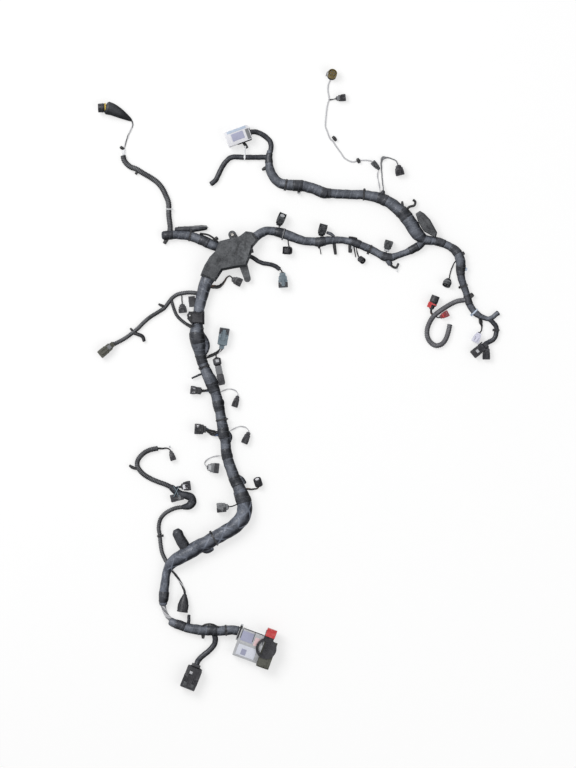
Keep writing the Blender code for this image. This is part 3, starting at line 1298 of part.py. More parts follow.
    def add_lower_left(self):
        """Adds the loop that leaves the bend for the splice, and returns to its connector."""
        self.lead("lower_left_lead", CONDUIT, 10.0, [
            (168.4, 565.0), (165.2, 560.0), (162.0, 553.0), (160.5, 545.0), (159.5, 535.0),
            (158.5, 528.0), (160.0, 520.0), (164.5, 514.0), (171.0, 510.0), (177.0, 508.0),
            (184.0, 507.2),
        ], (self.bend,), (self.splice.start_face,))
        back = self.lead("lower_left_return_lead", CONDUIT, 12.0, [
            (172.0, 487.8), (165.0, 484.5), (158.0, 482.0), (150.0, 478.5), (143.0, 474.0),
            (138.0, 468.0), (137.0, 463.0), (139.0, 458.0), (144.0, 453.0), (150.0, 450.0),
            (157.0, 448.5),
        ], (self.splice.end_face,))
        self.plug(
            "lower_left_connector", BLACK, (170.6, 451.6), (173.4, 460.5), 13.0, 13.0,
            leaves=(back.end_face,), latch=False,
            wires=((156.0, 448.7, 6.0), (162.0, 448.6, 5.0), (166.6, 448.4, 4.0), (169.4, 449.4)),
        )
        self.plug(
            "splice_connector_upper", BLACK, (181.4, 486.8), (190.5, 485.5), 21.6, 18.0,
            leaves=(self.splice,), wires=((174.6, 491.0, 6.0), (176.4, 487.8, 6.0)),
            side_entry=True,
        )
        self.plug(
            "bell_boot", BLACK, (184.8, 594.5), (182.2, 612.2), 25.0, 25.0, round=True,
            latch=False, profile=BELL, leaves=(self.bend,), wire_width=6.0 * MM,
            wires=((169.6, 568.0), (173.6, 572.8), (178.2, 579.0), (182.2, 586.0), (184.4, 591.4)),
        )
        box = self.plug(
            "bottom_box_connector", BLACK, (196.5, 664.5), (187.0, 688.5), 36.0, 28.0,
            profile=((0.0, 0.6), (0.1, 0.6), (0.14, 1.0), (1.0, 1.0)),
        )
        self.lead("bottom_branch_lead", CONDUIT, 13.0, [
            (212.6, 630.4), (215.0, 637.0), (214.5, 644.0), (210.0, 650.0), (203.0, 656.0),
            (198.0, 661.0), (196.0, 666.0),
        ], (self.bottom_run,), (box.face,))

    def build(self):
        """Makes every piece."""
        self.build_bundles()
        self.add_upper_left()
        self.add_top()
        self.add_rail()
        self.add_right()
        self.add_left()
        self.add_trunk()
        self.add_lower_left()
        for lead in self.leads:
            lead.build()
        for plug in self.plugs:
            piece = plug.build()
            if plug.name == "pair_connector":
                second = Plug("pair_second", BLACK, (486.6, 345.6), (486.5, 359.5), 17.0, 15.0)
                combine(piece, second.build(), "UNION")
        for maker in (unit_cover, unit_housing, unit_lever, unit_lock):
            maker()


def main():
    """Clears the scene and makes the harness."""
    for old in list(bpy.data.objects):
        bpy.data.objects.remove(old)
    Harness().build()


main()
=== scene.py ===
"""Looks of an engine wiring harness that lies flat on a pale floor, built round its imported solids.

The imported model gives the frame. Bundles, leads and connectors are modelled again here with their
tape, conduit, seals, latches, terminals and separate wires, and stand for the plain solids. Covers,
the bracket and the control unit keep their solids, with softened edges and added small parts.
Routes are read on the same layout board as the solids: columns count to the right (+X) and rows
count down the board (-Y). All sizes are in metres, and MM turns millimetres into metres.
"""

import logging
import math
from dataclasses import dataclass, field
from enum import Enum

import bpy
import numpy as np
from mathutils import Matrix, Vector


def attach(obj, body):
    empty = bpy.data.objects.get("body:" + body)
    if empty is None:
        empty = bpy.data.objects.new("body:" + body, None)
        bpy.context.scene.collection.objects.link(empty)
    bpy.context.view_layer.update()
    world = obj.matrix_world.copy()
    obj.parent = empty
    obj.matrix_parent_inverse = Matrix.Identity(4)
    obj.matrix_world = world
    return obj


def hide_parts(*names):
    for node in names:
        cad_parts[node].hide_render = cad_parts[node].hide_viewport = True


logging.basicConfig(level=logging.INFO, format="%(levelname)s %(message)s")
log = logging.getLogger("harness")

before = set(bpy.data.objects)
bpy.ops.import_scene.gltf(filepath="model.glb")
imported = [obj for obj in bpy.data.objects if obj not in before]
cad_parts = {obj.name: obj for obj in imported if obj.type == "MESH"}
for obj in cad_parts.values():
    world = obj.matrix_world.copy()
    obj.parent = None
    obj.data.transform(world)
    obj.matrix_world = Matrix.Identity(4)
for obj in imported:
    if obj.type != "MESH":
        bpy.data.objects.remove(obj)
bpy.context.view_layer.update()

MM = 0.001
SQUARE = 2.4 * MM
ORIGIN_COLUMN = 298.98
ORIGIN_ROW = 379.99
FINE_STEP = 0.6 * MM
FLOOR_DROP = 0.3 * MM

# The camera looks straight down, so that the board's squares fall on the picture's
CAMERA_LENS = 200.0
CAMERA_SENSOR = 36.0
CAMERA_HEIGHT = 10.26
CAMERA_X = -0.026352
CAMERA_Y = -0.009624

# The control unit connector's own frame
UNIT_PLACE = (238.4, 631.6)
UNIT_TURN = math.radians(-20.0)

# How finely wound pieces are divided
BUNDLE_SIDES, LEAD_SIDES, ROD_SIDES, WIRE_SIDES = 32, 18, 16, 8
BUNDLE_STEP = 2.2 * MM
BAND_STEP = 1.8 * MM
ROD_STEP = 1.5 * MM
WIRE_STEP = 2.5 * MM
BAND_RISE = 0.7 * MM
WIRE_LAY = 48 * MM

# Edges sharper than these angles stay sharp, or are rounded
SMOOTH_ANGLE = math.radians(38)
BEVEL_ANGLE = math.radians(35)
SOLID_ANGLE = math.radians(32)

# The direction of the painted light: tape and plastic faces that look this way are painted pale, and the
# flanks stay dark as painted shade
PAINTED_LIGHT_FACING = (-0.4, 0.3, 0.87)

Point = tuple[float, ...]
Piece = bpy.types.Object
Tree = bpy.types.NodeTree
Socket = bpy.types.NodeSocket


class Pattern(Enum):
    """What a finish shows besides its colour."""

    MOULDED = "moulded"
    TAPE = "tape"
    LATTICE = "lattice"
    SLEEVE = "sleeve"
    CONDUIT = "conduit"
    WIRE = "wire"
    METAL = "metal"


class Wound(Enum):
    """How the outside of a bundle or a lead is shaped."""

    TAPE = "tape"
    CONDUIT = "conduit"
    SMOOTH = "smooth"


@dataclass(frozen=True)
class Finish:
    """One finish: its colours, and how rough, worn and dusty it is."""

    name: str
    colour: Point
    second: Point
    roughness: float
    pattern: Pattern = Pattern.MOULDED
    pitch: float = 15.0 * MM
    grain: float = 900.0
    relief: float = 0.25
    dust: float = 0.25
    wear: float = 0.35
    metallic: float = 0.0
    # Share of painted light and shade: pale faces towards the light, dark flanks
    painted_light_mottle: float = 0.0


# The mottle amounts below paint light and shade: pale on the faces that look towards the light, dark on the
# flanks
CLOTH_TAPE = Finish("cloth_tape", (0.011, 0.012, 0.016), (0.2, 0.22, 0.265), 0.42, Pattern.TAPE,
    17.0 * MM, 1500.0, 0.8, 0.3, painted_light_mottle=0.8)
BLACK_TAPE = Finish("black_tape", (0.006, 0.0065, 0.008), (0.09, 0.097, 0.118), 0.36, Pattern.TAPE,
    13.0 * MM, 1200.0, 0.6, 0.2, painted_light_mottle=0.6)
LATTICE_TAPE = Finish("lattice_tape", (0.012, 0.013, 0.018), (0.22, 0.245, 0.305), 0.34,
    Pattern.LATTICE, 46.0 * MM, 1300.0, 0.7, 0.25, painted_light_mottle=0.7)
SLEEVE_WRAP = Finish("sleeve_wrap", (0.01, 0.011, 0.015), (0.22, 0.24, 0.29), 0.3, Pattern.SLEEVE,
    22.0 * MM, 800.0, 0.7, 0.25, painted_light_mottle=0.75)
CONDUIT = Finish("conduit", (0.009, 0.009, 0.011), (0.17, 0.175, 0.19), 0.42, Pattern.CONDUIT,
    4.0 * MM, 900.0, 0.6, 0.3, painted_light_mottle=0.7)
GREY_CONDUIT = Finish("grey_conduit", (0.035, 0.035, 0.04), (0.24, 0.24, 0.26), 0.5, Pattern.CONDUIT,
    4.0 * MM, 900.0, 0.5, 0.35, painted_light_mottle=0.8)
BLACK = Finish("black_plastic", (0.007, 0.007, 0.009), (0.12, 0.12, 0.135), 0.4, painted_light_mottle=0.35)
DARK_GREY = Finish("dark_grey_plastic", (0.012, 0.013, 0.015), (0.2, 0.21, 0.225), 0.44, relief=0.5,
    painted_light_mottle=0.45)
GREY = Finish("grey_plastic", (0.15, 0.155, 0.165), (0.4, 0.4, 0.42), 0.48)
PALE_GREY = Finish("pale_grey_plastic", (0.42, 0.43, 0.45), (0.7, 0.7, 0.72), 0.46)
BLUE_GREY = Finish("blue_grey_plastic", (0.12, 0.16, 0.19), (0.35, 0.42, 0.46), 0.44)
PALE = Finish("pale_plastic", (0.68, 0.68, 0.72), (0.85, 0.85, 0.86), 0.42, dust=0.15)
BLUE_TINT = Finish("blue_tint_plastic", (0.42, 0.5, 0.62), (0.7, 0.75, 0.82), 0.4, dust=0.15)
LILAC = Finish("lilac_plastic", (0.62, 0.62, 0.74), (0.8, 0.8, 0.86), 0.44, dust=0.2)
OLIVE = Finish("olive_plastic", (0.02, 0.02, 0.015), (0.16, 0.16, 0.13), 0.48, painted_light_mottle=0.6)
GOLD = Finish("gold_brown_plastic", (0.15, 0.11, 0.035), (0.42, 0.34, 0.14), 0.38, metallic=0.3)
RED = Finish("red_plastic", (0.5, 0.03, 0.035), (0.72, 0.25, 0.22), 0.38, dust=0.15)
DARK_RED = Finish("dark_red_plastic", (0.2, 0.02, 0.03), (0.45, 0.12, 0.13), 0.42)
YELLOW = Finish("yellow_plastic", (0.62, 0.42, 0.03), (0.8, 0.65, 0.2), 0.42)
WHITE_NYLON = Finish("white_nylon", (0.74, 0.75, 0.77), (0.85, 0.85, 0.86), 0.4, dust=0.1)
BLACK_NYLON = Finish("black_nylon", (0.014, 0.014, 0.016), (0.09, 0.09, 0.1), 0.36)
RUBBER = Finish("seal_rubber", (0.01, 0.011, 0.013), (0.09, 0.095, 0.11), 0.5, grain=600.0, painted_light_mottle=0.6)
GREY_SEAL = Finish("grey_seal_rubber", (0.25, 0.26, 0.27), (0.4, 0.4, 0.4), 0.62, grain=600.0)
TIN = Finish("tinned_metal", (0.62, 0.6, 0.56), (0.35, 0.33, 0.3), 0.3, Pattern.METAL,
             grain=2500.0, relief=0.1, metallic=0.95)
LABEL = Finish("blank_label", (0.36, 0.37, 0.5), (0.26, 0.27, 0.38), 0.5, relief=0.1, dust=0.3,
    wear=0.1)
WHITE_LABEL = Finish("white_label", (0.7, 0.72, 0.8), (0.5, 0.52, 0.62), 0.5, relief=0.1, dust=0.35,
    wear=0.1)
PINK_LABEL = Finish("pink_label", (0.72, 0.5, 0.52), (0.8, 0.7, 0.72), 0.5, relief=0.1)
BLACK_WIRE = Finish("black_wire", (0.012, 0.012, 0.014), (0.06, 0.06, 0.065), 0.36, Pattern.WIRE)
GREY_WIRE = Finish("grey_wire", (0.2, 0.205, 0.215), (0.32, 0.32, 0.34), 0.4, Pattern.WIRE)
WHITE_WIRE = Finish("white_wire", (0.5, 0.5, 0.52), (0.65, 0.65, 0.66), 0.4, Pattern.WIRE)
BLUE_WIRE = Finish("blue_wire", (0.07, 0.1, 0.18), (0.2, 0.25, 0.36), 0.38, Pattern.WIRE)
BROWN_WIRE = Finish("brown_wire", (0.09, 0.05, 0.03), (0.2, 0.13, 0.09), 0.4, Pattern.WIRE)


class Shading:
    """Makes the shared node groups once, and one material for each finish."""

    made: dict[str, bpy.types.Material] = {}
    groups: dict[str, Tree] = {}

    @staticmethod
    def group(name: str, inputs: dict[str, object], outputs: dict[str, str]) -> tuple:
        """Starts a shader node group with named sockets.

        Args:
            name: The group's name.
            inputs: Socket names with their default values, a number or a colour.
            outputs: Socket names with their kinds.

        Returns:
            The tree, its input node and its output node.
        """
        tree = bpy.data.node_groups.new(name, "ShaderNodeTree")
        for label, value in inputs.items():
            kind = "NodeSocketColor" if isinstance(value, tuple) else "NodeSocketFloat"
            socket = tree.interface.new_socket(label, in_out="INPUT", socket_type=kind)
            socket.default_value = (*value, 1.0) if isinstance(value, tuple) else value
        for label, kind in outputs.items():
            tree.interface.new_socket(label, in_out="OUTPUT", socket_type=kind)
        return tree, tree.nodes.new("NodeGroupInput"), tree.nodes.new("NodeGroupOutput")

    @staticmethod
    def math(tree: Tree, operation: str, *values: object) -> Socket:
        """Adds a Math node, with each value a number or a socket, and returns its output.

        Args:
            tree: The node tree to add to.
            operation: The node's operation.
            values: Its inputs, each a number or a socket.

        Returns:
            The output.
        """
        node = tree.nodes.new("ShaderNodeMath")
        node.operation = operation
        for socket, value in zip(node.inputs, values):
            if isinstance(value, (int, float)):
                socket.default_value = value
            else:
                tree.links.new(value, socket)
        return node.outputs[0]

    @staticmethod
    def noise(tree: Tree, scale: object, detail: float) -> Socket:
        """Adds noise on Object coordinates and returns its value.

        Args:
            tree: The node tree to add to.
            scale: How fine it is, a number or a socket.
            detail: How many finer layers it has.

        Returns:
            The output.
        """
        place = tree.nodes.new("ShaderNodeTexCoord")
        node = tree.nodes.new("ShaderNodeTexNoise")
        node.inputs["Detail"].default_value = detail
        tree.links.new(place.outputs["Object"], node.inputs["Vector"])
        if isinstance(scale, (int, float)):
            node.inputs["Scale"].default_value = scale
        else:
            tree.links.new(scale, node.inputs["Scale"])
        return node.outputs["Fac"]

    @staticmethod
    def blend(tree: Tree, share: object, first: object, second: object) -> object:
        """Adds a colour mix of two sockets or colours and returns its output.

        Args:
            tree: The node tree to add to.
            share: The socket that says how much of the second shows.
            first: The first colour or socket.
            second: The second colour or socket.

        Returns:
            The colour.
        """
        node = tree.nodes.new("ShaderNodeMix")
        node.data_type = "RGBA"
        sockets = [s for s in node.inputs if s.type == "RGBA"]
        tree.links.new(share, node.inputs["Factor"])
        for socket, value in zip(sockets, (first, second)):
            if isinstance(value, tuple):
                socket.default_value = (*value, 1.0)
            else:
                tree.links.new(value, socket)
        return next(s for s in node.outputs if s.type == "RGBA")

    @staticmethod
    def step(tree: Tree, value: object, low: float, high: float) -> object:
        """Adds a smooth step from 0 at low to 1 at high and returns its output.

        Args:
            tree: The node tree to add to.
            value: The socket to read.
            low: The value that gives 0.
            high: The value that gives 1.

        Returns:
            The output.
        """
        node = tree.nodes.new("ShaderNodeMapRange")
        node.interpolation_type = "SMOOTHSTEP"
        node.inputs["From Min"].default_value = low
        node.inputs["From Max"].default_value = high
        tree.links.new(value, node.inputs["Value"])
        return node.outputs["Result"]

    @classmethod
    def grain_group(cls) -> Tree:
        """Makes the fine grain that moulded plastic and tape share.

        Returns:
            The group.
        """
        tree, start, end = cls.group("fine_grain", {"Scale": 900.0}, {"Height": "NodeSocketFloat"})
        fine = cls.noise(tree, start.outputs["Scale"], 3.0)
        broad = cls.noise(tree, 60.0, 2.0)
        total = cls.math(tree, "ADD", fine, cls.math(tree, "MULTIPLY", broad, 1.5))
        tree.links.new(total, end.inputs["Height"])
        return tree

    @classmethod
    def dust_group(cls) -> Tree:
        """Makes the dust and handling marks that lie over every finish.

        Returns:
            The group.
        """
        tree, start, end = cls.group(
            "handled_dust", {"Colour": (0.1, 0.1, 0.1), "Dust Colour": (0.3, 0.3, 0.3), "Amount": 0.3},
            {"Colour": "NodeSocketColor", "Mask": "NodeSocketFloat"},
        )
        patches = cls.step(tree, cls.noise(tree, 38.0, 6.0), 0.42, 0.72)
        specks = cls.step(tree, cls.noise(tree, 420.0, 3.0), 0.5, 0.78)
        both = cls.math(tree, "MAXIMUM", cls.math(tree, "MULTIPLY", patches, 0.8), specks)
        mask = cls.math(tree, "MULTIPLY", both, start.outputs["Amount"])
        colour = cls.blend(tree, mask, start.outputs["Colour"], start.outputs["Dust Colour"])
        tree.links.new(colour, end.inputs["Colour"])
        tree.links.new(mask, end.inputs["Mask"])
        return tree

    @classmethod
    def wear_group(cls) -> Tree:
        """Makes the paler, rubbed edges.

        Returns:
            The group.
        """
        tree, start, end = cls.group(
            "rubbed_edges", {"Amount": 0.35}, {"Mask": "NodeSocketFloat"}
        )
        shape = tree.nodes.new("ShaderNodeNewGeometry")
        edge = cls.step(tree, shape.outputs["Pointiness"], 0.51, 0.58)
        broken = cls.step(tree, cls.noise(tree, 160.0, 4.0), 0.35, 0.65)
        mask = cls.math(tree, "MULTIPLY", cls.math(tree, "MULTIPLY", edge, broken), start.outputs["Amount"])
        tree.links.new(mask, end.inputs["Mask"])
        return tree

    @classmethod
    def lap_group(cls) -> Tree:
        """Makes the laps of a wound tape from the piece's own UV map: length and turn.

        Returns:
            The group.
        """
        tree, start, end = cls.group(
            "tape_laps", {"Pitch": 0.015}, {"Edge": "NodeSocketFloat", "Height": "NodeSocketFloat"}
        )
        around, along = cls.uv(tree)
        turns = cls.math(tree, "SUBTRACT", cls.math(tree, "DIVIDE", along, start.outputs["Pitch"]), around)
        share = cls.math(tree, "FRACT", turns)
        edge = cls.step(tree, share, 0.14, 0.0)
        tree.links.new(edge, end.inputs["Edge"])
        tree.links.new(cls.math(tree, "SUBTRACT", 1.0, share), end.inputs["Height"])
        return tree

    @classmethod
    def lattice_group(cls) -> Tree:
        """Makes the crossed strands of a lattice tape from the piece's own UV map.

        Returns:
            The group.
        """
        tree, start, end = cls.group(
            "lattice_strands", {"Pitch": 0.009}, {"Mask": "NodeSocketFloat", "Height": "NodeSocketFloat"}
        )
        around, along = cls.uv(tree)
        steps = cls.math(tree, "DIVIDE", along, start.outputs["Pitch"])
        lines = []
        for sense in (3.0, -3.0):
            turned = cls.math(tree, "ADD", steps, cls.math(tree, "MULTIPLY", around, sense))
            away = cls.math(tree, "PINGPONG", turned, 0.5)
            lines.append(cls.step(tree, away, 0.11, 0.03))
        broken = cls.step(tree, cls.noise(tree, 26.0, 4.0), 0.4, 0.6)
        mask = cls.math(tree, "MULTIPLY", cls.math(tree, "MAXIMUM", *lines), broken)
        tree.links.new(mask, end.inputs["Mask"])
        tree.links.new(mask, end.inputs["Height"])
        return tree

    @classmethod
    def painted_light_mottle_group(cls) -> Tree:
        """Makes painted light and shade: pale, uneven faces that look towards the light, and dark flanks.

        Returns:
            The group.
        """
        tree, _, end = cls.group("painted_light_mottled", {}, {"Mask": "NodeSocketFloat"})
        shape = tree.nodes.new("ShaderNodeNewGeometry")
        facing = tree.nodes.new("ShaderNodeVectorMath")
        facing.operation = "DOT_PRODUCT"
        facing.inputs[1].default_value = PAINTED_LIGHT_FACING
        tree.links.new(shape.outputs["Normal"], facing.inputs[0])
        # Faces that look towards the light get the pale colour as painted light; the flanks keep the dark
        # colour as painted shade
        painted_light_side = cls.step(tree, facing.outputs["Value"], 0.3, 1.0)
        broad = cls.step(tree, cls.noise(tree, 32.0, 4.0), 0.36, 0.66)
        fine = cls.step(tree, cls.noise(tree, 300.0, 3.0), 0.3, 0.7)
        patches = cls.math(tree, "ADD", cls.math(tree, "MULTIPLY", broad, 0.4),
                           cls.math(tree, "MULTIPLY", fine, 0.35))
        mask = cls.math(tree, "MULTIPLY", painted_light_side, cls.math(tree, "ADD", patches, 0.28))
        tree.links.new(mask, end.inputs["Mask"])
        return tree

    @staticmethod
    def uv(tree: Tree) -> tuple:
        """Reads the UV map of a wound piece and returns its turn and its length sockets.

        Args:
            tree: The node tree to add to.

        Returns:
            The turn and the length.
        """
        place = tree.nodes.new("ShaderNodeTexCoord")
        apart = tree.nodes.new("ShaderNodeSeparateXYZ")
        tree.links.new(place.outputs["UV"], apart.inputs[0])
        return apart.outputs["Y"], apart.outputs["X"]

    @classmethod
    def shared(cls, name: str) -> Tree:
        """Gives a shared group, made when it is first asked for.

        Args:
            name: Its name.

        Returns:
            The group.
        """
        makers = {"grain": cls.grain_group, "dust": cls.dust_group, "wear": cls.wear_group,
                  "laps": cls.lap_group, "lattice": cls.lattice_group,
                  "painted_light_mottle": cls.painted_light_mottle_group}
        if name not in cls.groups:
            cls.groups[name] = makers[name]()
        return cls.groups[name]

    @classmethod
    def use(cls, tree: Tree, name: str, **values: object) -> bpy.types.Node:
        """Places a shared group in a material with its own values.

        Args:
            tree: The material's node tree.
            name: The shared group's short name.
            values: Input names, with _ for a space, and numbers, colours or sockets.

        Returns:
            The group's node.
        """
        node = tree.nodes.new("ShaderNodeGroup")
        node.node_tree = cls.shared(name)
        for label, value in values.items():
            socket = node.inputs[label.replace("_", " ")]
            if isinstance(value, Socket):
                tree.links.new(value, socket)
            elif isinstance(value, tuple):
                socket.default_value = (*value, 1.0)
            else:
                socket.default_value = value
        return node

    @classmethod
    def material(cls, finish: Finish) -> bpy.types.Material:
        """Gives the material of a finish, made when it is first asked for.

        Args:
            finish: The finish.

        Returns:
            The material.
        """
        if finish.name in cls.made:
            return cls.made[finish.name]
        made = bpy.data.materials.new(finish.name)
        made.use_nodes = True
        tree = made.node_tree
        shader = tree.nodes["Principled BSDF"]
        shader.inputs["Metallic"].default_value = finish.metallic
        wear = cls.use(tree, "wear", Amount=finish.wear).outputs["Mask"]
        colour = cls.blend(tree, wear, finish.colour, finish.second)
        # Painted light and shade: a share of the pale second colour on faces towards the light, with the
        # flanks left dark; the specular level follows the same mask
        if finish.painted_light_mottle:
            painted_light_mottle = cls.use(tree, "painted_light_mottle").outputs["Mask"]
            colour = cls.blend(tree, cls.math(tree, "MULTIPLY", painted_light_mottle, finish.painted_light_mottle), colour, finish.second)
            sheen = cls.math(tree, "ADD", cls.math(tree, "MULTIPLY", painted_light_mottle, 0.6), 0.05)
            tree.links.new(sheen, shader.inputs["Specular IOR Level"])
        height = cls.use(tree, "grain", Scale=finish.grain).outputs["Height"]
        if finish.pattern in (Pattern.TAPE, Pattern.SLEEVE):
            laps = cls.use(tree, "laps", Pitch=finish.pitch)
            colour = cls.blend(tree, cls.math(tree, "MULTIPLY", laps.outputs["Edge"], 0.55),
                               colour, finish.second)
            lap_share = 5.0 if finish.pattern is Pattern.TAPE else 3.0
            height = cls.math(tree, "ADD", height,
                              cls.math(tree, "MULTIPLY", laps.outputs["Height"], lap_share))
        if finish.pattern is Pattern.LATTICE:
            strands = cls.use(tree, "lattice", Pitch=finish.pitch)
            colour = cls.blend(tree, cls.math(tree, "MULTIPLY", strands.outputs["Mask"], 0.75),
                               colour, finish.second)
            height = cls.math(tree, "ADD", height,
                              cls.math(tree, "MULTIPLY", strands.outputs["Height"], 3.0))
        # Pale streaks on the sleeve wrap are painted highlights
        if finish.pattern is Pattern.SLEEVE:
            painted_highlight_streaks = cls.step(tree, cls.noise(tree, 22.0, 5.0), 0.5, 0.68)
            colour = cls.blend(tree, cls.math(tree, "MULTIPLY", painted_highlight_streaks, 0.4), colour, finish.second)
        dust_colour = tuple(0.5 * value + 0.035 for value in finish.second)
        dust = cls.use(tree, "dust", Colour=colour, Dust_Colour=dust_colour, Amount=finish.dust)
        tree.links.new(dust.outputs["Colour"], shader.inputs["Base Color"])
        rough = cls.math(tree, "ADD", cls.math(tree, "MULTIPLY", dust.outputs["Mask"], 0.5),
                         finish.roughness)
        tree.links.new(rough, shader.inputs["Roughness"])
        bump = tree.nodes.new("ShaderNodeBump")
        bump.inputs["Strength"].default_value = finish.relief
        bump.inputs["Distance"].default_value = 0.2 * MM
        tree.links.new(height, bump.inputs["Height"])
        tree.links.new(bump.outputs["Normal"], shader.inputs["Normal"])
        cls.made[finish.name] = made
        return made


def board(column: float, row: float, height: float = 0.0) -> Vector:
    """Gives the place of a board square, at a height above the board."""
    return Vector(((column - ORIGIN_COLUMN) * SQUARE, (ORIGIN_ROW - row) * SQUARE, height))


def smooth(points: list) -> np.ndarray:
    """Reads a curve through the chosen points, at even fine steps of its length.

    Args:
        points: Places, each with any more values that are blended the same way.

    Returns:
        One row for each fine point.
    """
    chosen = [np.array(point, float) for point in points]
    run = [2 * chosen[0] - chosen[1], *chosen, 2 * chosen[-1] - chosen[-2]]
    fine = []
    for a, b, c, d in zip(run, run[1:], run[2:], run[3:]):
        pieces = max(4, math.ceil(np.linalg.norm((c - b)[:3]) / FINE_STEP))
        for t in np.arange(pieces) / pieces:
            bend = (2 * a - 5 * b + 4 * c - d) * t**2 + (3 * b - a - 3 * c + d) * t**3
            fine.append(0.5 * (2 * b + (c - a) * t + bend))
    fine.append(chosen[-1])
    return np.array(fine)


def lengths_of(curve: np.ndarray) -> np.ndarray:
    """Gives the distance along a curve of each of its points."""
    steps = np.linalg.norm(np.diff(curve[:, :3], axis=0), axis=1)
    return np.concatenate([[0.0], np.cumsum(steps)])


def lay(route: list, radius: float, start_height: float, end_height: float) -> np.ndarray:
    """Gives a route on the board its heights: it sinks from its start to the board and rises again.

    Args:
        route: Board places.
        radius: The radius of what is laid.
        start_height: The height of its centre at the start.
        end_height: The height of its centre at the end.

    Returns:
        One place for each fine point.
    """
    flat = smooth([tuple(board(place[0], place[1])) for place in route])
    along = lengths_of(flat)
    drop = max(3.0 * (start_height - radius), 2 * radius)
    climb = max(3.0 * (end_height - radius), 2 * radius)
    down = np.maximum(0.0, 1 - along / drop)
    up = np.maximum(0.0, 1 - (along[-1] - along) / climb)
    high = (start_height - radius) * (down**2 * (3 - 2 * down))
    high += (end_height - radius) * (up**2 * (3 - 2 * up))
    flat[:, 2] = radius + high
    return flat


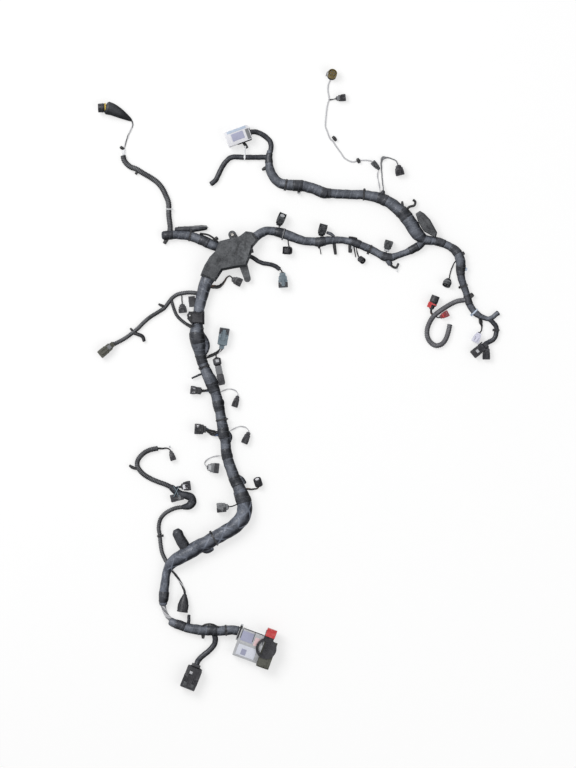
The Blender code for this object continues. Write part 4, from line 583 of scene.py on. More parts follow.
class Run:
    """A line of places with a radius at each, which can be covered with a wound skin."""

    def __init__(self, curve: np.ndarray, radii: np.ndarray) -> None:
        """Keeps the line and reads its length.

        Args:
            curve: Places, one row each.
            radii: The radius at each place.
        """
        self.curve = np.column_stack([curve[:, :3], radii])
        self.along = lengths_of(self.curve)
        self.length = float(self.along[-1])

    @classmethod
    def on_board(cls, route: list, height: float = 0.0) -> "Run":
        """Makes a run from (column, row, diameter in mm), lying on the board or at a height.

        Args:
            route: Columns, rows and diameters.
            height: The least height of the centre line, in millimetres.

        Returns:
            The run.
        """
        places = [(*board(c, r, max(d * MM / 2, height * MM)), d * MM / 2) for c, r, d in route]
        fine = smooth(places)
        return cls(fine, fine[:, 3])

    def read(self, along: np.ndarray) -> np.ndarray:
        """Gives place and radius at distances along the run."""
        return np.array([np.interp(along, self.along, column) for column in self.curve.T]).T

    def nearest(self, place: Vector) -> float:
        """Gives the distance along the run of its point beside a place."""
        away = np.linalg.norm(self.curve[:, :2] - np.array(place)[:2], axis=1)
        return float(self.along[away.argmin()])

    def height_at(self, place: Vector) -> float:
        """Gives the height of the centre beside a place."""
        return float(self.read(np.array([self.nearest(place)]))[0, 2])

    def relief(self, wound: Wound, along: np.ndarray, turn: np.ndarray, pitch: float) -> np.ndarray:
        """Gives how far the skin stands out from the plain round.

        Args:
            wound: How the outside is shaped.
            along: Distances along the run, one row for each ring.
            turn: Angles round it, in turns, one column for each side.
            pitch: Length of one lap or one ridge.

        Returns:
            A table of distances.
        """
        if wound is Wound.SMOOTH:
            return 0.0 * (along + turn)
        if wound is Wound.CONDUIT:
            share = (along / pitch) % 1.0
            return 0.5 * MM * (np.clip(2.4 * np.cos(math.tau * share), -1, 1) - 0.2) + 0.0 * turn
        share = (along / pitch - turn) % 1.0
        lap = 0.45 * MM * (1 - share)
        lumps = np.sin(math.tau * (along / (61 * MM) + turn)) + np.sin(math.tau * (along / (37 * MM) - turn))
        dents = np.sin(math.tau * (along / (23 * MM) + 2 * turn + 0.3))
        size = self.read(along.ravel())[:, 3].reshape(along.shape)
        return lap + size * (0.022 * lumps + 0.018 * dents)

    def skin(self, name: str, wound: Wound, pitch: float, sides: int, step: float,
             span: tuple | None = None, grow: float = 0.0) -> Piece:
        """Covers the run, or a span of it, with a closed skin that has a UV map of length and turn.

        Args:
            name: The new piece's name.
            wound: How the outside is shaped.
            pitch: Length of one lap or ridge.
            sides: Faces round the run.
            step: Length of one face.
            span: First and last distance, or None for the whole run.
            grow: What is added to the radius.

        Returns:
            The new object.
        """
        low, high = span or (0.0, self.length)
        count = max(4, math.ceil((high - low) / step))
        along = np.linspace(low, high, count + 1)
        marks = self.read(along)
        ahead, behind = self.read(along + MM)[:, :3], self.read(along - MM)[:, :3]
        forward = ahead - behind
        forward /= np.linalg.norm(forward, axis=1)[:, None]
        side = np.cross(forward, (0.0, 0.0, 1.0))
        side /= np.linalg.norm(side, axis=1)[:, None]
        up = np.cross(side, forward)
        turn = (np.arange(sides) / sides)[None, :]
        reach = marks[:, 3][:, None] + grow + self.relief(wound, along[:, None], turn, pitch)
        angle = math.tau * turn[0]
        cosines, sines = np.cos(angle)[None, :, None], np.sin(angle)[None, :, None]
        spread = side[:, None, :] * cosines + up[:, None, :] * sines
        rings = marks[:, None, :3] + spread * reach[:, :, None]
        caps = []
        for end, sense in ((0, -1.0), (-1, 1.0)):
            shrunk = []
            for share, out in ((0.86, 0.24), (0.55, 0.36)):
                middle = marks[end, :3] + forward[end] * (sense * out * marks[end, 3])
                shrunk.append(middle + (rings[end] - marks[end, :3]) * share)
            caps.append(shrunk)
        rings = np.concatenate([np.array(caps[0][::-1]), rings, np.array(caps[1])])
        along = np.concatenate([[low - MM, low - 0.5 * MM], along, [high + 0.5 * MM, high + MM]])
        rings[:, :, 2] = np.maximum(rings[:, :, 2], 0.0)
        total = len(rings)
        index = np.arange(total * sides).reshape(total, sides)
        following = np.roll(index, -1, axis=1)
        quads = np.stack([index[:-1], following[:-1], following[1:], index[1:]], axis=-1).reshape(-1, 4)
        faces = quads.tolist() + [index[0][::-1].tolist(), index[-1].tolist()]
        mesh = bpy.data.meshes.new(name)
        mesh.from_pydata(rings.reshape(-1, 3).tolist(), [], faces)
        layer = mesh.uv_layers.new(name="UVMap")
        k = np.arange(sides)
        first = np.broadcast_to(along[:-1, None], (total - 1, sides))
        second = np.broadcast_to(along[1:, None], (total - 1, sides))
        low_turn = np.broadcast_to(k / sides, (total - 1, sides))
        high_turn = np.broadcast_to((k + 1) / sides, (total - 1, sides))
        u = np.stack([first, first, second, second], axis=-1).reshape(-1)
        v = np.stack([low_turn, high_turn, high_turn, low_turn], axis=-1).reshape(-1)
        values = np.zeros((len(mesh.loops), 2))
        values[: len(u), 0], values[: len(u), 1] = u, v
        values[len(u):, 0] = along[0]
        layer.data.foreach_set("uv", values.ravel())
        mesh.shade_smooth()
        mesh.update()
        piece = bpy.data.objects.new(name, mesh)
        bpy.context.scene.collection.objects.link(piece)
        return piece


class Bench:
    """Blender's own modelling tools, used as by hand on one piece at a time."""

    @staticmethod
    def clear() -> None:
        """Leaves edit mode and deselects everything."""
        if bpy.context.mode != "OBJECT":
            bpy.ops.object.mode_set(mode="OBJECT")
        bpy.ops.object.select_all(action="DESELECT")

    @classmethod
    def box(cls, centre: Point, size: Point, finish: Finish) -> Piece:
        """Adds a box at its size and place.

        Args:
            centre: The place of its middle.
            size: Its size.
            finish: The finish.

        Returns:
            The box.
        """
        cls.clear()
        bpy.ops.mesh.primitive_cube_add(size=1.0, location=centre, scale=size)
        return cls.started(finish)

    @classmethod
    def drum(cls, centre: Point, radius: float, length: float, finish: Finish,
             sides: int = 28) -> Piece:
        """Adds a round drum along X at its size and place.

        Args:
            centre: The place of its middle.
            radius: Its radius.
            length: Its length.
            finish: The finish.
            sides: How many flat sides it has.

        Returns:
            The drum.
        """
        cls.clear()
        bpy.ops.mesh.primitive_cylinder_add(
            vertices=sides, radius=radius, depth=length, location=centre, rotation=(0, math.pi / 2, 0)
        )
        return cls.started(finish)

    @classmethod
    def started(cls, finish: Finish) -> Piece:
        """Applies the new primitive's turn and scale, and gives it its finish.

        Args:
            finish: The finish.

        Returns:
            The piece.
        """
        piece = bpy.context.active_object
        bpy.ops.object.transform_apply(location=True, rotation=True, scale=True)
        piece.data.materials.append(Shading.material(finish))
        return piece

    @classmethod
    def pick(cls, piece: Piece, normal: Point, beyond: float | None = None) -> None:
        """Opens a piece in edit mode with the faces selected that look along a direction.

        Args:
            piece: The piece to open.
            normal: The direction.
            beyond: If given, only faces at least this far along the direction are taken.
        """
        cls.clear()
        bpy.context.view_layer.objects.active = piece
        piece.select_set(True)
        bpy.context.tool_settings.mesh_select_mode = (False, False, True)
        mesh, along = piece.data, Vector(normal)
        for item in (*mesh.vertices, *mesh.edges):
            item.select = False
        for face in mesh.polygons:
            far = beyond is None or face.center.dot(along) >= beyond
            face.select = face.normal.dot(along) > 0.9 and far
        bpy.ops.object.mode_set(mode="EDIT")

    @staticmethod
    def extrude(move: Point) -> None:
        """Extrudes the selected faces."""
        bpy.ops.mesh.extrude_region_move(TRANSFORM_OT_translate={"value": move})

    @staticmethod
    def resize(share: Point, centre: Point) -> None:
        """Scales the selected faces about a centre."""
        bpy.ops.transform.resize(value=share, center_override=centre)

    @classmethod
    def bevel(cls, piece: Piece, width: float, segments: int = 2) -> Piece:
        """Rounds a piece's edges with an applied Bevel modifier and smooths its rounds.

        Args:
            piece: The piece.
            width: The width of the rounded edge.
            segments: How many steps the round has.

        Returns:
            The same piece.
        """
        cls.clear()
        bpy.context.view_layer.objects.active = piece
        piece.select_set(True)
        change = piece.modifiers.new("softened_edges", "BEVEL")
        change.width = width
        change.segments = segments
        change.limit_method = "ANGLE"
        change.angle_limit = BEVEL_ANGLE
        change.use_clamp_overlap = True
        bpy.ops.object.modifier_apply(modifier=change.name)
        bpy.ops.object.shade_smooth_by_angle(angle=SMOOTH_ANGLE)
        return piece

    @classmethod
    def join(cls, name: str, parts: list) -> Piece:
        """Joins parts into one piece and names it.

        Args:
            name: Its name.
            parts: The parts.

        Returns:
            The joined piece.
        """
        cls.clear()
        for part in parts:
            part.select_set(True)
        bpy.context.view_layer.objects.active = parts[0]
        if len(parts) > 1:
            bpy.ops.object.join()
        piece = bpy.context.active_object
        piece.name = name
        piece.data.name = name
        return piece

    @staticmethod
    def place(piece: Piece, matrix: Matrix) -> Piece:
        """Moves a piece's mesh to its place and leaves its object at the origin.

        Args:
            piece: The piece.
            matrix: The move.

        Returns:
            The same piece.
        """
        piece.data.transform(matrix @ piece.matrix_world)
        piece.matrix_world = Matrix.Identity(4)
        return piece


def dress(piece: Piece, finish: Finish) -> Piece:
    """Gives a piece one finish in place of what it had.

    Args:
        piece: The piece.
        finish: The finish.

    Returns:
        The same piece.
    """
    piece.data.materials.clear()
    piece.data.materials.append(Shading.material(finish))
    return piece


def settle(piece: Piece, body: str = "harness",
           replaced: str | None = None) -> Piece:
    """Puts a finished piece on its body and hides the solid it stands for.

    Args:
        piece: The finished piece.
        body: The body that it moves with.
        replaced: The CAD node that it stands for.

    Returns:
        The same piece.
    """
    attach(piece, body)
    if replaced:
        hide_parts(replaced)
    log.info("%s: %d faces on %s", piece.name, len(piece.data.polygons), body)
    return piece


def strands(name: str, curve: np.ndarray, widths: np.ndarray, finishes: list) -> list:
    """Makes wires that run together, twisted loosely round one line and touching each other.

    Args:
        name: The start of the wires' names.
        curve: The line.
        widths: The width of the whole bunch at each of its points.
        finishes: One finish for each wire.

    Returns:
        The wires, not yet joined.
    """
    count = len(finishes)
    inward = math.sin(math.pi / count)
    thin = (inward / (1 + inward) if count > 1 else 1.0) * widths / 2
    spread = (widths / 2 - thin)[:, None]
    full = lengths_of(curve)
    forward = np.gradient(curve, axis=0)
    forward /= np.linalg.norm(forward, axis=1)[:, None]
    side = np.cross(forward, (0.0, 0.0, 1.0))
    side /= np.maximum(np.linalg.norm(side, axis=1), 1e-6)[:, None]
    up = np.cross(side, forward)
    parts = []
    for k, finish in enumerate(finishes):
        turn = math.tau * (k / count + full / WIRE_LAY)[:, None]
        line = curve + (side * np.cos(turn) + up * np.sin(turn)) * spread
        line[:, 2] = np.maximum(line[:, 2], thin)
        part = Run(line, 1.04 * thin).skin(f"{name}_{k}", Wound.SMOOTH, 1.0, WIRE_SIDES, WIRE_STEP)
        parts.append(dress(part, finish))
    return parts


@dataclass
class TapedBundle:
    """A thick bundle with its tape and the bands wound over it where branches leave."""

    name: str
    slot: str
    finish: Finish
    route: list
    wound: Wound = Wound.TAPE
    bands: tuple = ()
    band_finish: Finish = BLACK_TAPE
    band_length: float = 22.0 * MM
    taped_to: Point = ()
    run: Run = field(init=False)

    def __post_init__(self) -> None:
        """Reads the route."""
        self.run = Run.on_board(self.route)

    def build(self) -> None:
        """Makes the bundle's skin and its bands, and bare wires past the end of its tape."""
        last = self.run.nearest(board(*self.taped_to)) if self.taped_to else self.run.length
        skin = self.run.skin(self.name + "_skin", self.wound, self.finish.pitch, BUNDLE_SIDES, BUNDLE_STEP,
                             (0.0, last))
        settle(dress(skin, self.finish), replaced=self.name)
        if self.taped_to:
            marks = self.run.read(np.arange(last - 6 * MM, self.run.length, MM))
            finishes = [WHITE_WIRE, GREY_WIRE, WHITE_WIRE, WHITE_WIRE, GREY_WIRE]
            bare = strands(self.name + "_bare", marks[:, :3], 1.5 * marks[:, 3], finishes)
            settle(Bench.join(self.name + "_bare_wires", bare))
        for number, (column, row) in enumerate(self.bands, 1):
            middle = self.run.nearest(board(column, row))
            low = max(0.0, middle - self.band_length / 2)
            high = min(self.run.length, middle + self.band_length / 2)
            band = self.run.skin(f"{self.name}_band_{number}", Wound.TAPE, self.band_finish.pitch,
                                 BUNDLE_SIDES, BAND_STEP, (low, high), BAND_RISE)
            settle(dress(band, self.band_finish))


@dataclass
class FreeLead:
    """A free lead, of its real length."""

    name: str
    diameter: float
    route: list
    heights: Point
    finish: Finish = CONDUIT
    wound: Wound = Wound.CONDUIT
    far_end: str = "object"
    carries: tuple = ()
    run: Run = field(init=False)

    def __post_init__(self) -> None:
        """Lays the route on the board."""
        radius = self.diameter * MM / 2
        start, end = (max(height * MM, radius) for height in self.heights)
        curve = lay(self.route, radius, start, end)
        self.run = Run(curve, np.full(len(curve), radius))

    def build(self) -> None:
        """Makes the lead."""
        step = 1.0 * MM if self.wound is Wound.CONDUIT else 2.0 * MM
        piece = self.run.skin(self.name + "_skin", self.wound, self.finish.pitch, LEAD_SIDES, step)
        settle(dress(piece, self.finish), replaced=self.name)
        marks = self.run.read(np.linspace(0.0, self.run.length, max(16, int(self.run.length / (8 * MM)))))


@dataclass
class Accent:
    """A small box or ring on a connector, sized and placed by shares of the connector's own."""

    finish: Finish
    centre: Point
    size: Point
    ring: bool = False


STRAIGHT = ((0.0, 1.0), (1.0, 1.0))
STANDARD = ((0.0, 0.66), (0.2, 0.68), (0.24, 0.92), (0.5, 0.95), (0.52, 1.05), (0.58, 1.05),
            (0.6, 1.0), (1.0, 1.0))
NECKED = ((0.0, 0.52), (0.16, 0.52), (0.2, 1.0), (0.5, 1.0), (0.52, 1.05), (0.58, 1.05),
          (0.6, 1.0), (1.0, 1.0))
BELL = ((0.0, 0.36), (0.15, 0.55), (0.3, 0.78), (0.45, 0.92), (0.62, 1.0), (0.9, 1.0),
        (0.92, 1.06), (1.0, 1.06))


@dataclass
class Connector:
    """A connector with its seal, latch, terminals and the separate wires that lead into it."""

    name: str
    slot: str
    finish: Finish
    rear: Point
    front: Point
    width: float
    height: float
    rise: float = 0.0
    lift: float = 0.0
    round: bool = False
    profile: tuple = STANDARD
    mouth: bool = True
    latch: bool = True
    ribs: bool = True
    seal: Finish = RUBBER
    pins: tuple = (2, 1)
    wires: tuple = ()
    start: float = 2.0
    bunch: float = 3.4
    strands: int = 3
    wire_finish: Finish = BLACK_WIRE
    accents: tuple = ()
    side_entry: bool = False
    replaces: bool = True

    def __post_init__(self) -> None:
        """Works out the connector's own frame from the board places of its ends."""
        flat = (board(*self.front) - board(*self.rear)).length
        tilt = math.atan2(self.rise * MM, flat)
        low = self.height * MM / 2
        if self.rise:
            low = self.profile[0][1] * self.height * MM / 2 * math.cos(tilt)
        low += self.lift * MM
        self.origin = board(*self.rear, low)
        ahead = board(*self.front, low + self.rise * MM) - self.origin
        self.length = ahead.length
        x = ahead.normalized()
        side = x.cross(Vector((0, 0, 1))).normalized()
        z = side.cross(x)
        self.matrix = Matrix.Translation(self.origin) @ Matrix((x, -side, z)).transposed().to_4x4()

    def housing(self) -> list:
        """Models the shell by extruding and scaling its end from station to station.

        Returns:
            The shell.
        """
        wide, tall, length = self.width * MM, self.height * MM, self.length
        stations = [(at * length, wide * share, tall * share) for at, share in self.profile]
        if self.mouth:
            share, wall, slot = self.profile[-1][1], 1.3 * MM, 1.5 * MM
            inner = (wide * share - 2 * wall, tall * share - 2 * wall)
            core = (inner[0] - 2 * slot, inner[1] - 2 * slot)
            deep = length - min(6 * MM, 0.4 * length)
            stations += [(length, *inner), (deep, *inner), (deep, *core), (length - 1.6 * MM, *core)]
        (x0, w0, h0), (x1, w1, h1) = stations[0], stations[1]
        if self.round:
            shell = Bench.drum((x0 / 2 + x1 / 2, 0, 0), w0 / 2, x1 - x0, self.finish)
        else:
            shell = Bench.box((x0 / 2 + x1 / 2, 0, 0), (x1 - x0, w0, h0), self.finish)
        Bench.pick(shell, (1, 0, 0))
        if (w1, h1) != (w0, h0):
            Bench.resize((1, w1 / w0, h1 / h0), (x1, 0, 0))
        for (x, w, h), (nx, nw, nh) in zip(stations[1:], stations[2:]):
            Bench.extrude((nx - x, 0, 0))
            if (nw, nh) != (w, h):
                Bench.resize((1, nw / w, nh / h), (nx, 0, 0))
        Bench.clear()
        return [Bench.bevel(shell, 0.035 * min(wide, tall))]

    def fittings(self) -> list:
        """Models the latch, ribs, seal and terminals.

        Returns:
            The parts.
        """
        wide, tall, length = self.width * MM, self.height * MM, self.length
        parts = []
        if self.latch:
            tongue = Bench.box((0.66 * length, 0, tall / 2 + 1.5 * MM),
                               (0.5 * length, 0.34 * wide, 1.3 * MM), self.finish)
            Bench.pick(tongue, (0, 0, 1))
            bpy.ops.mesh.inset(thickness=0.06 * wide, depth=-0.4 * MM)
            parts.append(Bench.bevel(tongue, 0.25 * MM, 1))
            foot = Bench.box((0.86 * length, 0, tall / 2 + 0.5 * MM),
                             (0.09 * length, 0.34 * wide, 1.6 * MM), self.finish)
            parts.append(foot)
            for sense in (-1, 1):
                cheek = Bench.box((0.62 * length, sense * 0.24 * wide, tall / 2 + 0.6 * MM),
                                  (0.4 * length, 0.05 * wide, 1.8 * MM), self.finish)
                parts.append(Bench.bevel(cheek, 0.2 * MM, 1))
        if self.ribs and not self.round:
            for sense in (-1, 1):
                for level in (-0.22, 0.22):
                    rib = Bench.box((0.8 * length, sense * (wide / 2 + 0.2 * MM), level * tall),
                                    (0.32 * length, 0.7 * MM, 0.09 * tall), self.finish)
                    parts.append(Bench.bevel(rib, 0.15 * MM, 1))
        if self.ribs and self.round:
            for k in range(10):
                turn = math.tau * (k + 0.5) / 10
                out = wide / 2 * self.profile[-1][1]
                rib = Bench.box((0.7 * length, math.cos(turn) * out, math.sin(turn) * out),
                                (0.3 * length, 1.0 * MM, 1.0 * MM), self.finish)
                parts.append(rib)
        share = self.profile[0][1]
        seal = Bench.drum((-0.6 * MM, 0, 0), 0.36 * share * min(wide, tall), 2.4 * MM, self.seal, 20)
        Bench.pick(seal, (-1, 0, 0))
        bpy.ops.mesh.inset(thickness=0.8 * MM, depth=-0.5 * MM)
        parts.append(Bench.bevel(seal, 0.25 * MM))
        if self.mouth:
            columns, rows = self.pins
            share = self.profile[-1][1]
            span, rise = wide * share - 7 * MM, tall * share - 7 * MM
            for column in range(columns):
                for row in range(rows):
                    y = (column + 0.5) / columns - 0.5
                    z = (row + 0.5) / rows - 0.5
                    # Dark slabs stand for the terminal holes as painted shade, beside the tin blades
                    painted_shade_hole = Bench.box((length - 1.5 * MM, y * span, z * rise),
                                     (0.6 * MM, 0.6 * span / columns, min(0.6 * rise / rows, 2.6 * MM)),
                                     RUBBER)
                    blade = Bench.box((length - 1.3 * MM, y * span, z * rise),
                                      (0.9 * MM, 0.36 * span / columns, 0.7 * MM), TIN)
                    parts += [painted_shade_hole, blade]
        return parts

    def marks(self) -> list:
        """Models the small parts that only this connector has.

        Returns:
            The parts.
        """
        wide, tall, length = self.width * MM, self.height * MM, self.length
        parts = []
        for accent in self.accents:
            centre = tuple(share * size for share, size in zip(accent.centre, (length, wide, tall)))
            size = tuple(share * size for share, size in zip(accent.size, (length, wide, tall)))
            if accent.ring:
                part = Bench.drum(centre, size[1] / 2, size[0], accent.finish)
                Bench.pick(part, (1, 0, 0))
                bpy.ops.mesh.inset(thickness=0.1 * size[1], depth=-0.3 * size[0])
            else:
                part = Bench.box(centre, size, accent.finish)
                Bench.pick(part, (0, 0, 1))
                bpy.ops.mesh.inset(thickness=0.14 * min(size[0], size[1]), depth=0.15 * MM)
            parts.append(Bench.bevel(part, 0.06 * min(size)))
        return parts

    def wire_parts(self) -> list:
        """Makes the separate wires, from their carrier to the connector's rear.

        Returns:
            The wires.
        """
        places = [(place[0], place[1]) for place in self.wires]
        widths = [place[2] if len(place) > 2 else self.bunch for place in self.wires]
        target = self.origin + self.lift_up
        if self.side_entry:
            inner = self.matrix @ Vector((0.3 * self.length, 0, 0))
            last = (inner.x / SQUARE + ORIGIN_COLUMN, ORIGIN_ROW - inner.y / SQUARE)
            route = [*places, self.rear, last]
            widths = [*widths, widths[-1], widths[-1]]
        else:
            route = [*places, self.rear]
            widths = [*widths, widths[-1]]
        least = min(widths) * MM / 2
        curve = lay(route, least, max(self.start * MM, least), target.z)
        full = lengths_of(curve)
        keys = []
        for place in route:
            away = np.linalg.norm(curve[:, :2] - np.array(board(*place))[:2], axis=1)
            keys.append(full[away.argmin()])
        bunch = np.interp(full, np.maximum.accumulate(keys), np.array(widths) * MM)
        curve[:, 2] = np.maximum(curve[:, 2], bunch / 2)
        odd = WIRE_MIX[len(self.name) % len(WIRE_MIX)] if self.strands > 2 else self.wire_finish
        finishes = [odd if k == 1 else self.wire_finish for k in range(self.strands)]
        return strands(self.name + "_wire", curve, bunch, finishes)

    def build(self) -> Piece:
        """Makes the connector in its own frame, then puts it in its place with its wires.

        Returns:
            The connector with its wires, as one piece.
        """
        shell = Bench.join(self.name + "_shell", self.housing() + self.fittings() + self.marks())
        Bench.place(shell, self.matrix)
        low = min(vertex.co.z for vertex in shell.data.vertices)
        self.lift_up = Vector((0, 0, max(0.0, -low)))
        Bench.place(shell, Matrix.Translation(self.lift_up))
        parts = [shell] + (self.wire_parts() if self.wires else [])
        piece = Bench.join(self.name + "_body", parts)
        return settle(piece, replaced=self.name if self.replaces else None)


WIRE_MIX = (BLACK_WIRE, GREY_WIRE, BLUE_WIRE, BROWN_WIRE, WHITE_WIRE)


@dataclass
class Rod:
    """A clip, hook, strap or lump: (column, row, diameter in mm) places at a height in mm."""

    name: str
    finish: Finish
    route: list
    height: float
    slot: str = "black_plastic"

    def build(self) -> None:
        """Makes the rod with rounded ends."""
        run = Run.on_board(self.route, self.height)
        wound = Wound.TAPE if self.finish.pattern is Pattern.TAPE else Wound.SMOOTH
        piece = run.skin(self.name, wound, self.finish.pitch, ROD_SIDES, ROD_STEP)
        settle(dress(piece, self.finish))


@dataclass
class CableTie:
    """A nylon tie round a bundle or a lead, with its head and cut tail."""

    name: str
    finish: Finish
    around: Run
    place: Point
    head_turn: float = 60.0
    width: float = 4.0 * MM

    def build(self) -> None:
        """Models the band from an open drum, then its head and tail."""
        along = self.around.nearest(board(*self.place))
        low, high = self.around.read(np.array([along - MM, along + MM]))
        centre, radius = Vector((low[:3] + high[:3]) / 2), float(low[3]) + 0.8 * MM
        forward = Vector(high[:3] - low[:3]).normalized()
        Bench.clear()
        bpy.ops.mesh.primitive_cylinder_add(vertices=32, radius=radius, depth=self.width,
                                            end_fill_type="NOTHING", rotation=(0, math.pi / 2, 0))
        band = Bench.started(self.finish)
        wall = band.modifiers.new("wall", "SOLIDIFY")
        wall.thickness = 1.1 * MM
        wall.offset = 1.0
        bpy.ops.object.modifier_apply(modifier=wall.name)
        bpy.ops.object.shade_smooth_by_angle(angle=SMOOTH_ANGLE)
        out = radius + 1.9 * MM
        head = Bench.box((0, 0, out), (1.5 * self.width, 5.4 * MM, 4.0 * MM), self.finish)
        tail = Bench.box((0, 4.5 * MM, out), (0.8 * self.width, 6.0 * MM, 1.2 * MM), self.finish)
        parts = [band, Bench.bevel(head, 0.5 * MM), Bench.bevel(tail, 0.3 * MM, 1)]
        piece = Bench.join(self.name, parts)
        side = forward.cross(Vector((0, 0, 1))).normalized()
        turned = Matrix((forward, -side, side.cross(forward))).transposed().to_4x4()
        spin = Matrix.Rotation(math.radians(self.head_turn), 4, "X")
        Bench.place(piece, Matrix.Translation(centre) @ turned @ spin)
        for vertex in piece.data.vertices:
            vertex.co.z = max(vertex.co.z, 0.0)
        settle(piece)


@dataclass
class Block:
    """A small moulded block with a sunk top: board place, size in mm and turn in degrees."""

    name: str
    finish: Finish
    place: Point
    size: Point
    turn: float = 0.0
    body: str = "harness"
    slot: str = "black_plastic"

    def build(self) -> None:
        """Models the block from a box with an inset, sunk top."""
        column, row, low = self.place
        wide, deep, tall = (value * MM for value in self.size)
        block = Bench.box((0, 0, tall / 2), (wide, deep, tall), self.finish)
        Bench.pick(block, (0, 0, 1))
        bpy.ops.mesh.inset(thickness=0.16 * min(wide, deep), depth=-0.1 * tall)
        piece = Bench.join(self.name, [Bench.bevel(block, 0.08 * min(wide, deep, tall))])
        matrix = Matrix.Translation(board(column, row, low * MM))
        Bench.place(piece, matrix @ Matrix.Rotation(math.radians(self.turn), 4, "Z"))
        settle(piece, self.body)


@dataclass
class Trunk:
    """The trunk from the hub cover down to the control unit, in four taped lengths."""

    sleeve_route: list = field(default_factory=lambda: [
        (207.9, 278.6, 32), (204.6, 286.5, 30), (201.9, 296, 28.5), (199.8, 305, 26),
        (198.4, 314, 25), (197.5, 321, 25), (197.2, 326.5, 27),
    ])
    wrap_route: list = field(default_factory=lambda: [
        (197.2, 326.5, 29), (197, 332, 34), (197.2, 338, 36), (198, 344, 33),
        (199.5, 351, 28), (201.5, 359, 24), (204, 367, 24.5), (207.3, 374, 27),
        (210.6, 380.5, 30), (213.2, 387.5, 27), (215.9, 395, 25), (218, 403, 25.5),
        (219.7, 411, 24), (221.2, 419, 24.5), (222.6, 427, 26), (224.2, 435, 27),
        (225.4, 443, 24.5), (226.2, 451, 24.5), (227.8, 459, 25.5), (230.2, 467, 26),
        (233.2, 475, 27), (236.7, 483, 28), (240.1, 491, 31),
    ])
    bend_route: list = field(default_factory=lambda: [
        (240.1, 491, 33), (242.6, 497.5, 35), (244.4, 504.5, 36), (244.4, 511.5, 36),
        (241.9, 518.5, 36), (236.6, 524.6, 35.5), (229, 530, 35), (219.5, 535.6, 34),
        (209.8, 541, 34), (200, 546.2, 34), (190.5, 551.4, 34), (182.2, 556.2, 33),
        (174.8, 560.8, 30), (169.2, 566.2, 24), (166.4, 573, 19.5), (165.3, 581, 20.5),
        (164.3, 589, 22), (163.6, 596.5, 23), (163.2, 603, 19), (164.2, 610, 15),
        (167.2, 616.4, 14), (171.4, 620.6, 14),
    ])
    bottom_route: list = field(default_factory=lambda: [
        (170.6, 621.5, 18.5), (174, 623.2, 20.5), (179.5, 625.2, 21), (187, 628, 22),
        (197, 629.8, 24), (207, 630.4, 24), (218, 631, 23.5), (228, 630.4, 23),
        (233.4, 630.2, 22), (238, 631.2, 22),
    ])

    def __post_init__(self) -> None:
        """Names the four lengths."""
        self.sleeve = TapedBundle("trunk_sleeve", "sleeve", SLEEVE_WRAP, self.sleeve_route,
                                  bands=((198.4, 318.0),))
        self.wrap = TapedBundle(
            "trunk_wrap", "tape", CLOTH_TAPE, self.wrap_route,
            bands=((197.2, 338.0), (201.5, 359.0), (213.0, 387.0), (218.6, 406.0), (224.0, 433.0),
                   (226.6, 454.0), (236.0, 481.0)),
        )
        self.bend = TapedBundle("trunk_bend", "blue_tape", LATTICE_TAPE, self.bend_route,
                                bands=((242.6, 498.0), (163.6, 597.0)), taped_to=(163.0, 604.5))
        self.bottom = TapedBundle("bottom_run_bundle", "tape", CLOTH_TAPE, self.bottom_route,
                                  bands=((180.0, 625.4), (212.0, 630.8)))

    def fittings(self) -> list:
        """Lists the clips, lumps and straps along the trunk.

        Returns:
            Rods, ties and blocks, ready to build.
        """
        tape, blue = "tape", "blue_tape"
        return [
            Rod("sleeve_ring_clip", BLACK_NYLON, [(198, 300.4, 12), (193.4, 300.5, 13),
                (189.2, 300.6, 11)], 8),
            Block("sleeve_clip_plate", BLACK, (192, 301.5, 12), (16, 26, 3), 6),
            Rod("sleeve_strap", BLACK_NYLON, [(186, 324, 6), (194, 326.6, 6), (203.4, 329, 6)], 26),
            Rod("wrap_cable_lump", CLOTH_TAPE, [(201.6, 333.4, 12), (205.4, 340.4, 15), (207, 347.4, 13),
                (203.8, 354.6, 12)], 12, tape),
            Rod("wrap_thin_stub", BLACK_TAPE, [(205, 372.6, 5), (198, 375.4, 4.5), (191.8, 378.2, 4)], 8,
                tape),
            Rod("wrap_middle_lump", BLACK_TAPE, [(219.4, 399.6, 13), (221.6, 402, 13),
                (221.6, 406, 12)], 12, tape),
            Rod("wrap_lower_lump", CLOTH_TAPE, [(224.8, 431, 15), (229, 436.4, 16), (227.4, 442.4, 14)], 12,
                tape),
            Rod("wrap_bottom_lump", CLOTH_TAPE, [(237.6, 477, 13), (241.2, 479.6, 15),
                (243.6, 483.6, 15)], 12, tape),
            Rod("bend_tower", BLACK_TAPE, [(186.4, 550, 27), (182.6, 543.4, 26), (179.2, 537, 25),
                (177.2, 532.6, 24), (176.2, 530.4, 17)], 14, blue),
            Rod("bend_under_lump", LATTICE_TAPE, [(201.4, 546.8, 20), (206.4, 549.4, 21),
                (211.4, 547.2, 20)], 12, blue),
            Rod("bottom_under_clip", BLACK_NYLON, [(203, 632.6, 9), (203, 635.6, 9), (203, 638.4, 7)], 9),
            Rod("bottom_boot_strap", BLACK_TAPE, [(187.6, 627, 9), (188.6, 621, 7.5), (188.8, 615.4, 7)], 9,
                tape),
            Rod("bottom_arc_wire", BLACK_WIRE, [(200, 628, 4), (205, 624.6, 4), (212, 624.2, 4),
                (219, 627.4, 4)], 20),
            CableTie("wrap_tie_upper", BLACK_NYLON, self.wrap.run, (204, 367), 40),
            CableTie("wrap_tie_lower", BLACK_NYLON, self.wrap.run, (221.4, 420), -50),
            CableTie("bend_tie", BLACK_NYLON, self.bend.run, (214, 538.6), 70),
            CableTie("bottom_tie", BLACK_NYLON, self.bottom.run, (226, 630.6), 20),
        ]

    def build(self) -> None:
        """Makes the trunk."""
        for bundle in (self.sleeve, self.wrap, self.bend, self.bottom):
            bundle.build()
        for fitting in self.fittings():
            fitting.build()


